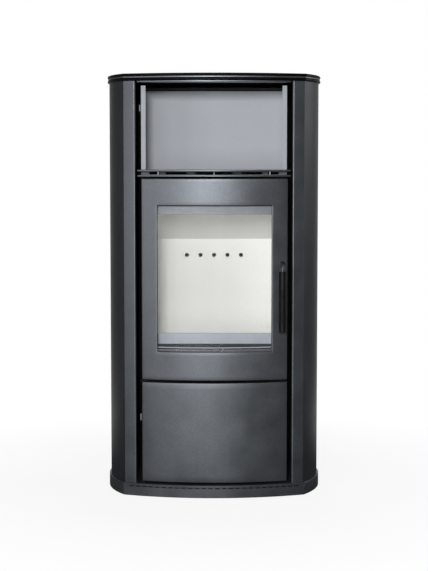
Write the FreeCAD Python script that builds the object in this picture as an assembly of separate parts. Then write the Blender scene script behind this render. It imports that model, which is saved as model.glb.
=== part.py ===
import FreeCAD, Part
import math
import os

os.makedirs("parts", exist_ok=True)
Vector = FreeCAD.Vector

# A tall steel wood stove with a bowed front: plinth, log store behind a lower door, firebox behind a
# glazed door, an open warming niche and a double beaded top. Millimetres, +Z up, the front faces -Y.

# Overall plan and height
overall_height = 1160.0
body_width = 600.0
body_depth = 410.0
front_radius = 700.0
corner_inset = 50.0
rear_inset = 78.7
collar_reach = 35.0
overrun = 5.0
tolerance = 0.001

# Clearances
fit_gap = 0.3
running_gap = 0.05
seat_gap = 0.02

# Plinth and base
plinth_height = 30.3
plinth_sheet = 3.0
base_sheet = 4.0
plinth_slot_length = 13.5
plinth_slot_height = 3.0
plinth_slot_pitch = 18.6
plinth_slot_drop = 2.0
plinth_slot_margin = 14.0

# Casing
panel_inset = 5.0
panel_sheet = 2.0
column_width = 33.2
column_fold_depth = 28.0
column_bend_radius = 4.0
rear_panel_inset = 10.0
rear_panel_sheet = 2.0
rear_hole_gap = 6.0

# Top: two black beaded plates with a grey plate between them
bead_plate_thickness = 8.0
bead_chamfer = 2.3
spacer_thickness = 4.0
spacer_inset = 1.6
lintel_thickness = 4.0
lintel_overlap = 9.0

# Doors
hinge_side_gap = 15.5
latch_side_gap = 12.5
door_setback = 9.0
door_edge_depth = 12.82
door_skin = 5.0
door_wall = 4.0
lower_door_gap = 6.2
lower_door_height = 276.3
door_split_gap = 6.9
fire_door_height = 551.6
shelf_gap = 5.5
stile_width = 44.0
top_rail_height = 74.3
bottom_rail_height = 79.5
hinge_pin_radius = 4.0
hinge_pin_reach = 12.0
hinge_edge_inset = 5.0
hinge_back_inset = 6.7
hinge_block_width = 16.0
hinge_block_height = 16.0
hinge_bracket_thickness = 4.0
hinge_bracket_width = 20.0
hinge_bracket_overhang = 9.0

# Glazing
gasket_thickness = 2.0
gasket_reveal = 2.0
glass_thickness = 4.0
glass_overlap = 11.0
retainer_thickness = 2.5
retainer_overhang = 8.0
top_retainer_sight = 22.9
bottom_retainer_sight = 11.5
side_clip_inset = 2.5
backing_thickness = 3.0
seal_thickness = 4.0
seal_width = 10.0
seal_offset = 3.0
seal_corner_radius = 16.0

# Front frame and inner body
frame_sheet = 3.0
frame_side_gap = 14.5
body_sheet = 3.0
firebox_rear_gap = 70.0
fire_opening_jamb = 34.0
fire_opening_drop = 8.2
fire_opening_rise = 11.0
log_opening_jamb = 19.0
log_opening_sill = 22.0
log_opening_head = 8.0

# Shelves and convection grille
shelf_thickness = 4.4
shelf_end_gap = 4.5
grille_height = 9.8
grille_sheet = 2.0
grille_rim = 1.4
grille_rib_thickness = 3.0
grille_rib_depth = 24.0
grille_slot_shares = [(-0.889, -0.744), (-0.663, -0.377), (-0.256, 0.256), (0.377, 0.663), (0.744, 0.889)]
grille_rib_shares = [-0.765, 0.0, 0.765]

# Warming niche
niche_top_gap = 8.0
niche_back_drop = 5.4
niche_flange = 12.4
niche_sheet = 2.0
niche_rear_gap = 150.0

# Firebox
firebox_floor_rise = 6.3
firebox_floor_sheet = 4.0
log_ceiling_drop = 30.8
lining_thickness = 25.0
back_lining_thickness = 22.0
floor_brick_thickness = 30.0
side_lining_setback = 24.0
brick_setback = 4.0
baffle_front_drop = 35.0
baffle_fall = 79.4
baffle_front_depth = 150.0
baffle_thickness = 25.0
air_hole_radius = 6.1
air_hole_pitch = 39.5
air_hole_count = 5
air_hole_drop = 47.6
retainer_bar_rise = 15.8
retainer_bar_height = 29.0
retainer_bar_sheet = 4.0
retainer_bar_setback = 11.0
retainer_bar_lip = 9.0
wash_bar_rise = 3.0
wash_bar_height = 40.0
wash_bar_overlap = 8.0
wash_bar_lip = 18.0

# Flue spigot at the back
flue_drop = 85.8
flue_radius = 75.0
flue_wall = 3.0
flue_flange_width = 20.0
flue_flange_sheet = 3.0
flue_inner_reach = 4.0

# Door handle and latch
handle_inset = 14.6
handle_rise = 317.3
rod_radius = 5.3
rod_bend_radius = 12.0
finger_gap = 22.0
grip_radius = 10.8
grip_wall = 2.5
grip_cap = 6.0
grip_length = 165.0
grip_drop = 17.0
grip_hole_radius = 1.7
grip_hole_rows = 4
grip_hole_columns = 6
grip_hole_start_share = 0.16
grip_hole_end_share = 0.70
bush_radius = 8.8
bush_proud = 1.5
cam_gap = 1.5
cam_thickness = 5.0
cam_radius = 8.5
cam_finger_length = 18.0
cam_finger_width = 9.0
cam_slot_gap = 3.0
nut_thickness = 5.0
nut_radius = 7.5
keeper_roller_radius = 4.0
keeper_roller_length = 8.0
keeper_roller_gap = 0.5
keeper_trunnion_radius = 2.0
keeper_sheet = 2.0
keeper_depth = 12.0
keeper_base_height = 14.0

# Lower door catch
magnet_width = 24.0
magnet_height = 15.0
magnet_depth = 9.7
magnet_drop = 18.0
magnet_inset = 10.0
strike_thickness = 3.0
strike_margin = 5.0

# Combustion air regulator
air_port_width = 32.0
air_port_depth = 40.0
air_port_pitch = 80.0
air_port_count = 3
air_port_setback = 42.0
air_slide_margin = 12.0
air_slide_sheet = 3.0
air_slide_travel = 40.0
air_runner_sheet = 3.0
air_runner_lip = 5.0
air_tab_width = 20.0
air_rod_rise = 13.0
air_rod_radius = 4.0
air_rod_slot_gap = 1.5
air_rod_reach = 14.0
air_knob_radius = 8.0
air_knob_length = 18.0
air_knob_chamfer = 2.0

# Stop lugs in the gap beside the niche and the lower door
lug_height = 17.8
lug_reach = 5.0
niche_lug_drop = 61.0
lower_lug_rise = 175.9


# Places worked out from the sizes above
half_width = body_width / 2
corner_drop = front_radius - math.sqrt(front_radius ** 2 - (half_width - corner_inset) ** 2)
side_length = body_depth - corner_drop
side_spread = rear_inset - corner_inset
side_square = side_length ** 2 + rear_inset * side_spread
side_root = math.sqrt((corner_inset * side_length) ** 2 + side_spread * corner_inset * side_square)
side_rise = corner_inset * side_square / (corner_inset * side_length + side_root)
widest_depth = corner_drop + side_rise
side_radius = (corner_inset ** 2 + side_rise ** 2) / (2 * corner_inset)
side_centre_x = half_width - side_radius


def corner_place(inset):
    """Half-width and depth of the corner where the bowed front meets the bowed side, a given inset inside."""
    front_reach = front_radius - inset
    side_reach = side_radius - inset
    across = widest_depth - front_radius
    apart = math.hypot(side_centre_x, across)
    along = (front_reach ** 2 - side_reach ** 2 + apart ** 2) / (2 * apart)
    height = math.sqrt(front_reach ** 2 - along ** 2)
    x = side_centre_x * along / apart - height * across / apart
    depth = front_radius + across * along / apart + height * side_centre_x / apart
    return x, depth


def door_drop(x):
    """Depth of the doors' outer face behind the plinth's foremost point."""
    return front_radius - math.sqrt(door_radius ** 2 - x ** 2)


half_bay = corner_place(panel_inset)[0] - column_width
door_left = -half_bay + hinge_side_gap
door_right = half_bay - latch_side_gap
handle_x = door_right - handle_inset
door_radius = front_radius - door_setback
door_back_depth = door_drop(max(-door_left, door_right)) + door_edge_depth
frame_depth = door_back_depth + seal_thickness + fit_gap
grip_depth = door_drop(handle_x) - finger_gap - grip_radius
handle_reach = max(0, grip_radius - grip_depth)
apex_y = handle_reach - (handle_reach + body_depth + collar_reach) / 2
rear_y = apex_y + body_depth
front_centre_y = apex_y + front_radius
side_centre_y = apex_y + widest_depth
frame_y = apex_y + frame_depth
frame_back_y = frame_y + frame_sheet
firebox_back_y = rear_y - firebox_rear_gap
niche_back_y = rear_y - niche_rear_gap
hinge_x = door_left + hinge_edge_inset
hinge_y = apex_y + door_back_depth - hinge_back_inset
grip_y = apex_y + grip_depth

base_top = plinth_height + base_sheet
lower_door_bottom = base_top + lower_door_gap
lower_door_top = lower_door_bottom + lower_door_height
fire_door_bottom = lower_door_top + door_split_gap
fire_door_top = fire_door_bottom + fire_door_height
lower_shelf_z = fire_door_top + shelf_gap
grille_z = lower_shelf_z + shelf_thickness
upper_shelf_z = grille_z + grille_height
niche_floor_z = upper_shelf_z + shelf_thickness
top_plate_z = overall_height - 2 * bead_plate_thickness - spacer_thickness
lintel_z = top_plate_z - lintel_thickness
niche_top_z = lintel_z - niche_top_gap

frame_half = half_bay - frame_side_gap
firebox_half = frame_half - body_sheet
lining_half = firebox_half - lining_thickness
niche_half = frame_half - niche_flange
niche_wall_x = frame_half - niche_sheet
shelf_half = half_bay - shelf_end_gap
window_left = door_left + stile_width
window_right = door_right - stile_width
window_low = fire_door_bottom + bottom_rail_height
window_high = fire_door_top - top_rail_height
fire_opening_half = frame_half - fire_opening_jamb
fire_opening_low = window_low - fire_opening_drop
fire_opening_high = window_high + fire_opening_rise
door_back_y = apex_y + door_back_depth
firebox_floor_z = fire_door_bottom + firebox_floor_rise
hollow_floor_z = firebox_floor_z + firebox_floor_sheet
hearth_z = hollow_floor_z + floor_brick_thickness
back_lining_y = firebox_back_y - back_lining_thickness
side_lining_y = frame_y + side_lining_setback
ceiling_z = lower_door_top - log_ceiling_drop
ceiling_top = ceiling_z + body_sheet
handle_height = fire_door_bottom + handle_rise
flue_height = lower_shelf_z - flue_drop
air_rod_z = ceiling_top + air_rod_rise


def box(x0, x1, y0, y1, z0, z1):
    return Part.makeBox(x1 - x0, y1 - y0, z1 - z0, Vector(x0, y0, z0))


def rod_x(radius, x0, x1, y, z):
    return Part.makeCylinder(radius, x1 - x0, Vector(x0, y, z), Vector(1, 0, 0))


def rod_y(radius, x, y0, y1, z):
    return Part.makeCylinder(radius, y1 - y0, Vector(x, y0, z), Vector(0, 1, 0))


def rod_z(radius, x, y, z0, z1):
    return Part.makeCylinder(radius, z1 - z0, Vector(x, y, z0), Vector(0, 0, 1))


def line(start, end):
    return Part.LineSegment(start, end).toShape()


def prism(edges, z0, z1):
    """Solid over a closed plan outline, from one height to another."""
    face = Part.Face(Part.Wire(edges))
    face.translate(Vector(0, 0, z0))
    return face.extrude(Vector(0, 0, z1 - z0))


def front_point(radius, x):
    """Plan point on the bowed front of a given radius."""
    return Vector(x, front_centre_y - math.sqrt(radius ** 2 - x ** 2), 0)


def front_arc(radius, x0, x1):
    middle = front_point(radius, (x0 + x1) / 2)
    return Part.Arc(front_point(radius, x0), middle, front_point(radius, x1)).toShape()


def side_point(inset, y, sign):
    """Plan point on the bowed side, a given inset inside the plinth's outline."""
    reach = math.sqrt((side_radius - inset) ** 2 - (y - side_centre_y) ** 2)
    return Vector(sign * (side_centre_x + reach), y, 0)


def side_arc(inset, start, y_end, sign):
    middle = side_point(inset, (start.y + y_end) / 2, sign)
    return Part.Arc(start, middle, side_point(inset, y_end, sign)).toShape()


def corner(inset, sign):
    """Plan point where the bowed front meets the bowed side, a given inset inside the outline."""
    x, depth = corner_place(inset)
    return Vector(sign * x, apex_y + depth, 0)


def body_plate(inset, z0, z1):
    """Plate with the whole plan outline: bowed front, bowed sides and straight back."""
    left = corner(inset, -1)
    right = corner(inset, 1)
    back_y = rear_y - inset
    edges = [front_arc(front_radius - inset, left.x, right.x),
             side_arc(inset, right, back_y, 1),
             line(side_point(inset, back_y, 1), side_point(inset, back_y, -1)),
             side_arc(inset, left, back_y, -1)]
    return prism(Part.__sortEdges__(edges), z0, z1)


def front_band(inset, thickness, z0, z1):
    """Bowed strip across the front, mitred at both corners."""
    outer_left = corner(inset, -1)
    outer_right = corner(inset, 1)
    inner_left = corner(inset + thickness, -1)
    inner_right = corner(inset + thickness, 1)
    edges = [front_arc(front_radius - inset, outer_left.x, outer_right.x),
             line(outer_right, inner_right),
             front_arc(front_radius - inset - thickness, inner_right.x, inner_left.x),
             line(inner_left, outer_left)]
    return prism(edges, z0, z1)


def side_band(sign, inset, thickness, y_end, z0, z1):
    """Bowed strip down one side, mitred at the front corner and cut square at the back."""
    outer = corner(inset, sign)
    inner = corner(inset + thickness, sign)
    outer_end = side_point(inset, y_end, sign)
    inner_end = side_point(inset + thickness, y_end, sign)
    edges = [side_arc(inset, outer, y_end, sign),
             line(outer_end, inner_end),
             side_arc(inset + thickness, inner, y_end, sign),
             line(inner, outer)]
    return prism(Part.__sortEdges__(edges), z0, z1)


def curved_sheet(radius, thickness, x0, x1, z0, z1):
    """Sheet bent to the bowed front, cut square at its two upright edges."""
    inner = radius - thickness
    edges = [front_arc(radius, x0, x1),
             line(front_point(radius, x1), front_point(inner, x1)),
             front_arc(inner, x1, x0),
             line(front_point(inner, x0), front_point(radius, x0))]
    return prism(edges, z0, z1)


def bowed_block(radius, x0, x1, back_y, z0, z1):
    """Block with a bowed front and a flat back."""
    back_left = Vector(x0, back_y, 0)
    back_right = Vector(x1, back_y, 0)
    edges = [front_arc(radius, x0, x1),
             line(front_point(radius, x1), back_right),
             line(back_right, back_left),
             line(back_left, front_point(radius, x0))]
    return prism(edges, z0, z1)


def upright_profile(points, x0, x1):
    """Solid across the stove from a closed outline of (y, z) points."""
    corners = [Vector(x0, y, z) for y, z in points]
    face = Part.Face(Part.makePolygon(corners + corners[:1]))
    return face.extrude(Vector(x1 - x0, 0, 0))


def flat_edges(shape):
    return [edge for edge in shape.Edges if edge.BoundBox.ZLength < tolerance]


# Plinth: a bowed front strip with a row of air slots, two bowed sides and a straight back

def plinth_front():
    strip = front_band(0, plinth_sheet, 0, plinth_height)
    slot_top = plinth_height - plinth_slot_drop
    slot_bottom = slot_top - plinth_slot_height
    pitch_angle = math.degrees(plinth_slot_pitch / front_radius)
    front_length = 2 * front_radius * math.asin(corner_place(0)[0] / front_radius)
    slot_count = int((front_length - 2 * plinth_slot_margin - plinth_slot_length) / plinth_slot_pitch) + 1
    slots = []
    for index in range(slot_count):
        slot = box(-plinth_slot_length / 2, plinth_slot_length / 2,
                   apex_y - overrun, apex_y + plinth_sheet + overrun, slot_bottom, slot_top)
        turn = (index - (slot_count - 1) / 2) * pitch_angle
        slot.rotate(Vector(0, front_centre_y, 0), Vector(0, 0, 1), turn)
        slots.append(slot)
    return strip.cut(Part.makeCompound(slots))


def plinth_side(sign):
    return side_band(sign, 0, plinth_sheet, rear_y, 0, plinth_height)


def plinth_rear():
    reach = side_point(plinth_sheet, rear_y, 1).x
    return box(-reach, reach, rear_y - plinth_sheet, rear_y, 0, plinth_height).cut(
        Part.makeCompound([plinth_side(-1), plinth_side(1)]))


def base_plate():
    plate = body_plate(0, plinth_height, base_top)
    pin_hole = rod_z(hinge_pin_radius + seat_gap, hinge_x, hinge_y, plinth_height - overrun,
                     base_top + overrun)
    return plate.cut(pin_hole)


# Casing: two front columns with a rounded inner fold, two bowed side panels and a flat back

def column(sign):
    radius = front_radius - panel_inset
    inner = radius - panel_sheet
    outer_corner = corner(panel_inset, sign)
    inner_corner = corner(panel_inset + panel_sheet, sign)
    fold_x = sign * half_bay
    fold_inner_x = sign * (half_bay + panel_sheet)
    fold_front = front_point(radius, fold_x)
    fold_inner = front_point(inner, fold_inner_x)
    fold_end_y = fold_front.y + column_fold_depth
    fold_end = Vector(fold_x, fold_end_y, 0)
    fold_inner_end = Vector(fold_inner_x, fold_end_y, 0)
    edges = [front_arc(radius, outer_corner.x, fold_x),
             line(fold_front, fold_end),
             line(fold_end, fold_inner_end),
             line(fold_inner_end, fold_inner),
             front_arc(inner, fold_inner_x, inner_corner.x),
             line(inner_corner, outer_corner)]
    strip = prism(edges, base_top, top_plate_z)
    bends = [(fold_front, column_bend_radius), (fold_inner, column_bend_radius - panel_sheet)]
    for point, radius_of_bend in bends:
        edge = [one for one in strip.Edges if one.BoundBox.ZLength > tolerance
                and math.hypot(one.BoundBox.Center.x - point.x, one.BoundBox.Center.y - point.y) < tolerance]
        strip = strip.makeFillet(radius_of_bend, edge)
    return strip


def side_panel(sign):
    return side_band(sign, panel_inset, panel_sheet, rear_y - rear_panel_inset, base_top, top_plate_z)


def rear_panel():
    back_y = rear_y - rear_panel_inset
    reach = side_point(panel_inset + panel_sheet, back_y, 1).x
    panel = box(-reach, reach, back_y - rear_panel_sheet, back_y, base_top, top_plate_z)
    hole = rod_y(flue_radius + rear_hole_gap, 0, back_y - rear_panel_sheet - overrun, back_y + overrun,
                 flue_height)
    return panel.cut(hole)


# Top: two plates with a bevelled bead edge, a flat plate between them and a strip over the niche

def bead_plate(z0):
    plate = body_plate(0, z0, z0 + bead_plate_thickness)
    return plate.makeChamfer(bead_chamfer, flat_edges(plate))


def top_spacer():
    spacer_z = top_plate_z + bead_plate_thickness
    return body_plate(spacer_inset, spacer_z, spacer_z + spacer_thickness)


def niche_lintel():
    return bowed_block(front_radius - panel_inset, -shelf_half, shelf_half, frame_y + lintel_overlap,
                       lintel_z, top_plate_z)


# Shelves: the lower one closes the firebox and the upper one is the niche's floor

def shelf(z0):
    z1 = z0 + shelf_thickness
    nose = bowed_block(front_radius - panel_inset, -shelf_half, shelf_half, frame_back_y, z0, z1)
    floor = box(-frame_half, frame_half, frame_back_y, firebox_back_y + body_sheet, z0, z1)
    return nose.fuse(floor).removeSplitter()


def lower_shelf():
    pin_hole = rod_z(hinge_pin_radius + seat_gap, hinge_x, hinge_y, lower_shelf_z - overrun,
                     grille_z + overrun)
    return shelf(lower_shelf_z).cut(pin_hole)


def grille_strip():
    strip = box(-frame_half, frame_half, frame_y, frame_y + grille_sheet, grille_z, upper_shelf_z)
    slots = []
    for start_share, end_share in grille_slot_shares:
        slots.append(box(start_share * frame_half, end_share * frame_half, frame_y - overrun,
                         frame_y + grille_sheet + overrun, grille_z + grille_rim, upper_shelf_z - grille_rim))
    return strip.cut(Part.makeCompound(slots))


def grille_ribs():
    ribs = []
    for share in grille_rib_shares:
        centre = share * frame_half
        ribs.append(box(centre - grille_rib_thickness / 2, centre + grille_rib_thickness / 2,
                        frame_y - grille_rib_depth, frame_y, grille_z, upper_shelf_z))
    return Part.makeCompound(ribs)


# Warming niche: two side walls whose front edge is folded inwards, and a back wall

def niche_wall(sign):
    points = [(niche_half, frame_y), (frame_half, frame_y), (frame_half, niche_back_y),
              (niche_wall_x, niche_back_y), (niche_wall_x, frame_y + niche_sheet),
              (niche_half, frame_y + niche_sheet)]
    corners = [Vector(sign * x, y, 0) for x, y in points]
    edges = Part.makePolygon(corners + corners[:1]).Edges
    return prism(edges, niche_floor_z, niche_top_z)


def niche_back():
    return box(-niche_wall_x, niche_wall_x, niche_back_y - niche_sheet, niche_back_y, niche_floor_z,
               niche_top_z - niche_back_drop)


def stop_lugs():
    niche_lug_z = niche_top_z - niche_lug_drop
    lower_lug_z = lower_door_bottom + lower_lug_rise
    niche_lug = box(-frame_half - lug_reach, -frame_half, frame_y, frame_y + niche_sheet,
                    niche_lug_z - lug_height / 2, niche_lug_z + lug_height / 2)
    lower_lug = box(-frame_half - lug_reach, -frame_half, frame_y, frame_y + frame_sheet,
                    lower_lug_z - lug_height / 2, lower_lug_z + lug_height / 2)
    return Part.makeCompound([niche_lug, lower_lug])


# Inner body: front frame, two sides and a back welded round the firebox and the log store

def front_frame():
    plate = box(-frame_half, frame_half, frame_y, frame_back_y, base_top, lower_shelf_z)
    cut_front = frame_y - overrun
    cut_back = frame_back_y + overrun
    fire_opening = box(-fire_opening_half, fire_opening_half, cut_front, cut_back,
                       fire_opening_low, fire_opening_high)
    log_half = frame_half - log_opening_jamb
    log_opening = box(-log_half, log_half, cut_front, cut_back, base_top + log_opening_sill,
                      ceiling_z - log_opening_head)
    slot_reach = cam_radius + cam_slot_gap
    cam_slot = box(handle_x - slot_reach, firebox_half, cut_front, cut_back,
                   handle_height - slot_reach, handle_height + cam_finger_length + cam_slot_gap)
    rod_reach = air_rod_radius + air_rod_slot_gap
    rod_slot = box(-rod_reach, air_slide_travel + rod_reach, cut_front, cut_back,
                   air_rod_z - rod_reach, air_rod_z + rod_reach)
    return plate.cut(Part.makeCompound([fire_opening, log_opening, cam_slot, rod_slot]))


def body_side(sign):
    x0, x1 = sorted([sign * firebox_half, sign * frame_half])
    return box(x0, x1, frame_back_y, firebox_back_y, base_top, lower_shelf_z)


def firebox_back():
    plate = box(-frame_half, frame_half, firebox_back_y, firebox_back_y + body_sheet, base_top, lower_shelf_z)
    hole = rod_y(flue_radius + seat_gap, 0, firebox_back_y - overrun, firebox_back_y + body_sheet + overrun,
                 flue_height)
    return plate.cut(hole)


def firebox_floor():
    return box(-firebox_half, firebox_half, frame_back_y, firebox_back_y, firebox_floor_z, hollow_floor_z)


def hinge_bracket():
    centre_z = (lower_door_top + fire_door_bottom) / 2
    low = centre_z - hinge_bracket_thickness / 2
    high = centre_z + hinge_bracket_thickness / 2
    plate = box(hinge_x - hinge_bracket_width / 2, hinge_x + hinge_bracket_width / 2,
                hinge_y - hinge_bracket_overhang, frame_y, low, high)
    return plate.cut(rod_z(hinge_pin_radius + seat_gap, hinge_x, hinge_y, low - overrun, high + overrun))


def hinge_pins():
    top = rod_z(hinge_pin_radius, hinge_x, hinge_y, fire_door_top - hinge_pin_reach, grille_z)
    middle = rod_z(hinge_pin_radius, hinge_x, hinge_y, lower_door_top - hinge_pin_reach,
                   fire_door_bottom + hinge_pin_reach)
    bottom = rod_z(hinge_pin_radius, hinge_x, hinge_y, plinth_height, lower_door_bottom + hinge_pin_reach)
    return Part.makeCompound([top, middle, bottom])


# Firebox lining: vermiculite boards, a hearth brick and a sloping baffle that lies on the boards

baffle_front_height = fire_opening_high - baffle_front_drop
baffle_rear_height = baffle_front_height - baffle_fall
baffle_slope = (baffle_front_height - baffle_rear_height) / (back_lining_y - apex_y - baffle_front_depth)
baffle_angle = math.atan(baffle_slope)
baffle_front_y = apex_y + baffle_front_depth
baffle_back_z = baffle_rear_height - baffle_slope * back_lining_thickness


def hearth_brick():
    return box(-firebox_half, firebox_half, frame_back_y + brick_setback, back_lining_y, hollow_floor_z,
               hearth_z)


def side_lining(sign):
    x0, x1 = sorted([sign * lining_half, sign * firebox_half])
    points = [(side_lining_y, hearth_z), (back_lining_y, hearth_z), (back_lining_y, baffle_rear_height),
              (baffle_front_y, baffle_front_height), (side_lining_y, baffle_front_height)]
    return upright_profile(points, x0, x1)


def back_lining():
    points = [(back_lining_y, hollow_floor_z), (firebox_back_y, hollow_floor_z),
              (firebox_back_y, baffle_back_z), (back_lining_y, baffle_rear_height)]
    board = upright_profile(points, -firebox_half, firebox_half)
    air_hole_z = baffle_rear_height - air_hole_drop
    holes = []
    for index in range(air_hole_count):
        x = (index - (air_hole_count - 1) / 2) * air_hole_pitch
        holes.append(rod_y(air_hole_radius, x, back_lining_y - overrun, firebox_back_y + overrun, air_hole_z))
    return board.cut(Part.makeCompound(holes))


def baffle_board():
    lift_y = baffle_thickness * math.sin(baffle_angle)
    lift_z = baffle_thickness * math.cos(baffle_angle)
    points = [(firebox_back_y, baffle_back_z), (baffle_front_y, baffle_front_height),
              (baffle_front_y + lift_y, baffle_front_height + lift_z),
              (firebox_back_y, baffle_back_z + baffle_thickness / math.cos(baffle_angle))]
    return upright_profile(points, -firebox_half + fit_gap, firebox_half - fit_gap)


retainer_bar_y = frame_back_y + retainer_bar_setback
retainer_bar_z = window_low + retainer_bar_rise


def hearth_sill():
    """Upright plate at the front of the hearth, which carries the log retainer."""
    return box(-firebox_half, firebox_half, retainer_bar_y, retainer_bar_y + retainer_bar_sheet, hearth_z,
               retainer_bar_z)


def log_retainer():
    front = retainer_bar_y
    inner = front + retainer_bar_sheet
    low = retainer_bar_z
    high = low + retainer_bar_height
    points = [(front, low), (front, high), (front + retainer_bar_lip, high),
              (front + retainer_bar_lip, high - retainer_bar_sheet), (inner, high - retainer_bar_sheet),
              (inner, low)]
    return upright_profile(points, -firebox_half, firebox_half)


def air_wash_bar():
    """Folded ledge on the back of the frame, which turns the air down behind the glass."""
    low = fire_opening_high + wash_bar_rise
    high = low + wash_bar_height
    inner = frame_back_y + body_sheet
    half = fire_opening_half + wash_bar_overlap
    points = [(frame_back_y, low), (frame_back_y, high), (inner, high), (inner, low + body_sheet),
              (frame_back_y + wash_bar_lip, low + body_sheet), (frame_back_y + wash_bar_lip, low)]
    return upright_profile(points, -half, half)


def flue_spigot():
    """Tube through the firebox back with a welded flange on the outside of that plate."""
    flange_y = firebox_back_y + body_sheet
    end_y = rear_y + collar_reach
    start_y = firebox_back_y - flue_inner_reach
    tube = rod_y(flue_radius, 0, start_y, end_y, flue_height)
    flange = rod_y(flue_radius + flue_flange_width, 0, flange_y, flange_y + flue_flange_sheet, flue_height)
    bore = rod_y(flue_radius - flue_wall, 0, start_y - overrun, end_y + overrun, flue_height)
    return tube.fuse(flange).cut(bore)


# Combustion air: a ported plate over the log store and a slide that covers its ports

air_port_y = frame_back_y + air_port_setback
air_slide_y = air_port_y - air_slide_margin
air_slide_end_y = air_port_y + air_port_depth + air_slide_margin
air_slide_z = ceiling_top + fit_gap


def air_ports(z0, z1):
    ports = []
    for index in range(air_port_count):
        x = (index - (air_port_count - 1) / 2) * air_port_pitch
        ports.append(box(x - air_port_width / 2, x + air_port_width / 2, air_port_y,
                         air_port_y + air_port_depth, z0 - overrun, z1 + overrun))
    return Part.makeCompound(ports)


def log_ceiling():
    plate = box(-firebox_half, firebox_half, frame_back_y, firebox_back_y, ceiling_z, ceiling_top)
    return plate.cut(air_ports(ceiling_z, ceiling_top))


def air_slide_half():
    return (air_port_count - 1) / 2 * air_port_pitch + air_port_width / 2 + air_slide_margin


def air_slide():
    half = air_slide_half()
    top = air_slide_z + air_slide_sheet
    plate = box(-half, half, air_slide_y, air_slide_end_y, air_slide_z, top).cut(air_ports(air_slide_z, top))
    tab_y = air_slide_y + air_runner_lip + fit_gap
    tab = box(-air_tab_width / 2, air_tab_width / 2, tab_y, tab_y + air_slide_sheet, air_slide_z,
              air_rod_z + air_rod_radius)
    rod = rod_y(air_rod_radius, 0, frame_y - air_rod_reach, tab_y + air_slide_sheet, air_rod_z)
    return plate.fuse(tab).fuse(rod).removeSplitter()


def air_runners():
    half = air_slide_half() + air_slide_travel
    lip_z = air_slide_z + air_slide_sheet + fit_gap
    high = lip_z + air_runner_sheet
    runners = []
    for edge_y, inward in [(air_slide_y - fit_gap, 1), (air_slide_end_y + fit_gap, -1)]:
        outer_y = edge_y - inward * air_runner_sheet
        lip_y = edge_y + inward * air_runner_lip
        points = [(outer_y, ceiling_top), (outer_y, high), (lip_y, high), (lip_y, lip_z), (edge_y, lip_z),
                  (edge_y, ceiling_top)]
        runners.append(upright_profile(points, -half, half))
    return Part.makeCompound(runners)


def air_knob():
    back = frame_y - fit_gap
    front = back - air_knob_length
    knob = rod_y(air_knob_radius, 0, front, back, air_rod_z)
    rims = [edge for edge in knob.Edges if edge.BoundBox.YMax < front + tolerance]
    bore = rod_y(air_rod_radius + seat_gap, 0, frame_y - air_rod_reach, back + overrun, air_rod_z)
    return knob.makeChamfer(air_knob_chamfer, rims).cut(bore)


# Doors: bowed pressings open at the back, with a block for the hinge pin at the left top and bottom

def door_tray(z0, z1):
    outer = bowed_block(door_radius, door_left, door_right, door_back_y, z0, z1)
    hollow = bowed_block(door_radius - door_skin, door_left + door_wall, door_right - door_wall,
                         door_back_y + overrun, z0 + door_wall, z1 - door_wall)
    block_x = door_left + hinge_block_width
    top_block = outer.common(box(door_left, block_x, apex_y, door_back_y, z1 - hinge_block_height, z1))
    bottom_block = outer.common(box(door_left, block_x, apex_y, door_back_y, z0, z0 + hinge_block_height))
    tray = outer.cut(hollow).fuse([top_block, bottom_block]).removeSplitter()
    bore = hinge_pin_radius + running_gap
    depth = hinge_pin_reach + fit_gap
    top_bore = rod_z(bore, hinge_x, hinge_y, z1 - depth, z1 + overrun)
    bottom_bore = rod_z(bore, hinge_x, hinge_y, z0 - overrun, z0 + depth)
    return tray.cut(Part.makeCompound([top_bore, bottom_bore]))


def fire_door():
    window = box(window_left, window_right, apex_y - overrun, door_back_y + overrun, window_low, window_high)
    bush_hole = rod_y(bush_radius + seat_gap, handle_x, apex_y - overrun, door_back_y + overrun,
                      handle_height)
    return door_tray(fire_door_bottom, fire_door_top).cut(Part.makeCompound([window, bush_hole]))


def lower_door():
    return door_tray(lower_door_bottom, lower_door_top)


gasket_radius = door_radius - door_skin
glass_radius = gasket_radius - gasket_thickness
retainer_radius = glass_radius - glass_thickness - fit_gap
glass_left = window_left - glass_overlap
glass_right = window_right + glass_overlap
glass_low = window_low - glass_overlap
glass_high = window_high + glass_overlap


def glass_gasket():
    sheet = curved_sheet(gasket_radius - seat_gap, gasket_thickness - seat_gap, glass_left, glass_right,
                         glass_low, glass_high)
    opening = box(window_left - gasket_reveal, window_right + gasket_reveal, apex_y - overrun, frame_y,
                  window_low - gasket_reveal, window_high + gasket_reveal)
    return sheet.cut(opening)


def door_glass():
    return curved_sheet(glass_radius - seat_gap, glass_thickness, glass_left, glass_right, glass_low,
                        glass_high)


def glass_retainers():
    left = glass_left - retainer_overhang
    right = glass_right + retainer_overhang
    bottom = curved_sheet(retainer_radius, retainer_thickness, left, right, glass_low - retainer_overhang,
                          window_low + bottom_retainer_sight)
    top = curved_sheet(retainer_radius, retainer_thickness, left, right, window_high - top_retainer_sight,
                       glass_high + retainer_overhang)
    return Part.makeCompound([bottom, top])


def glass_side_clips():
    low = window_low + bottom_retainer_sight + fit_gap
    high = window_high - top_retainer_sight - fit_gap
    left = curved_sheet(retainer_radius, retainer_thickness, glass_left - retainer_overhang,
                        window_left - side_clip_inset, low, high)
    right = curved_sheet(retainer_radius, retainer_thickness, window_right + side_clip_inset,
                         glass_right + retainer_overhang, low, high)
    return Part.makeCompound([left, right])


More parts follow.
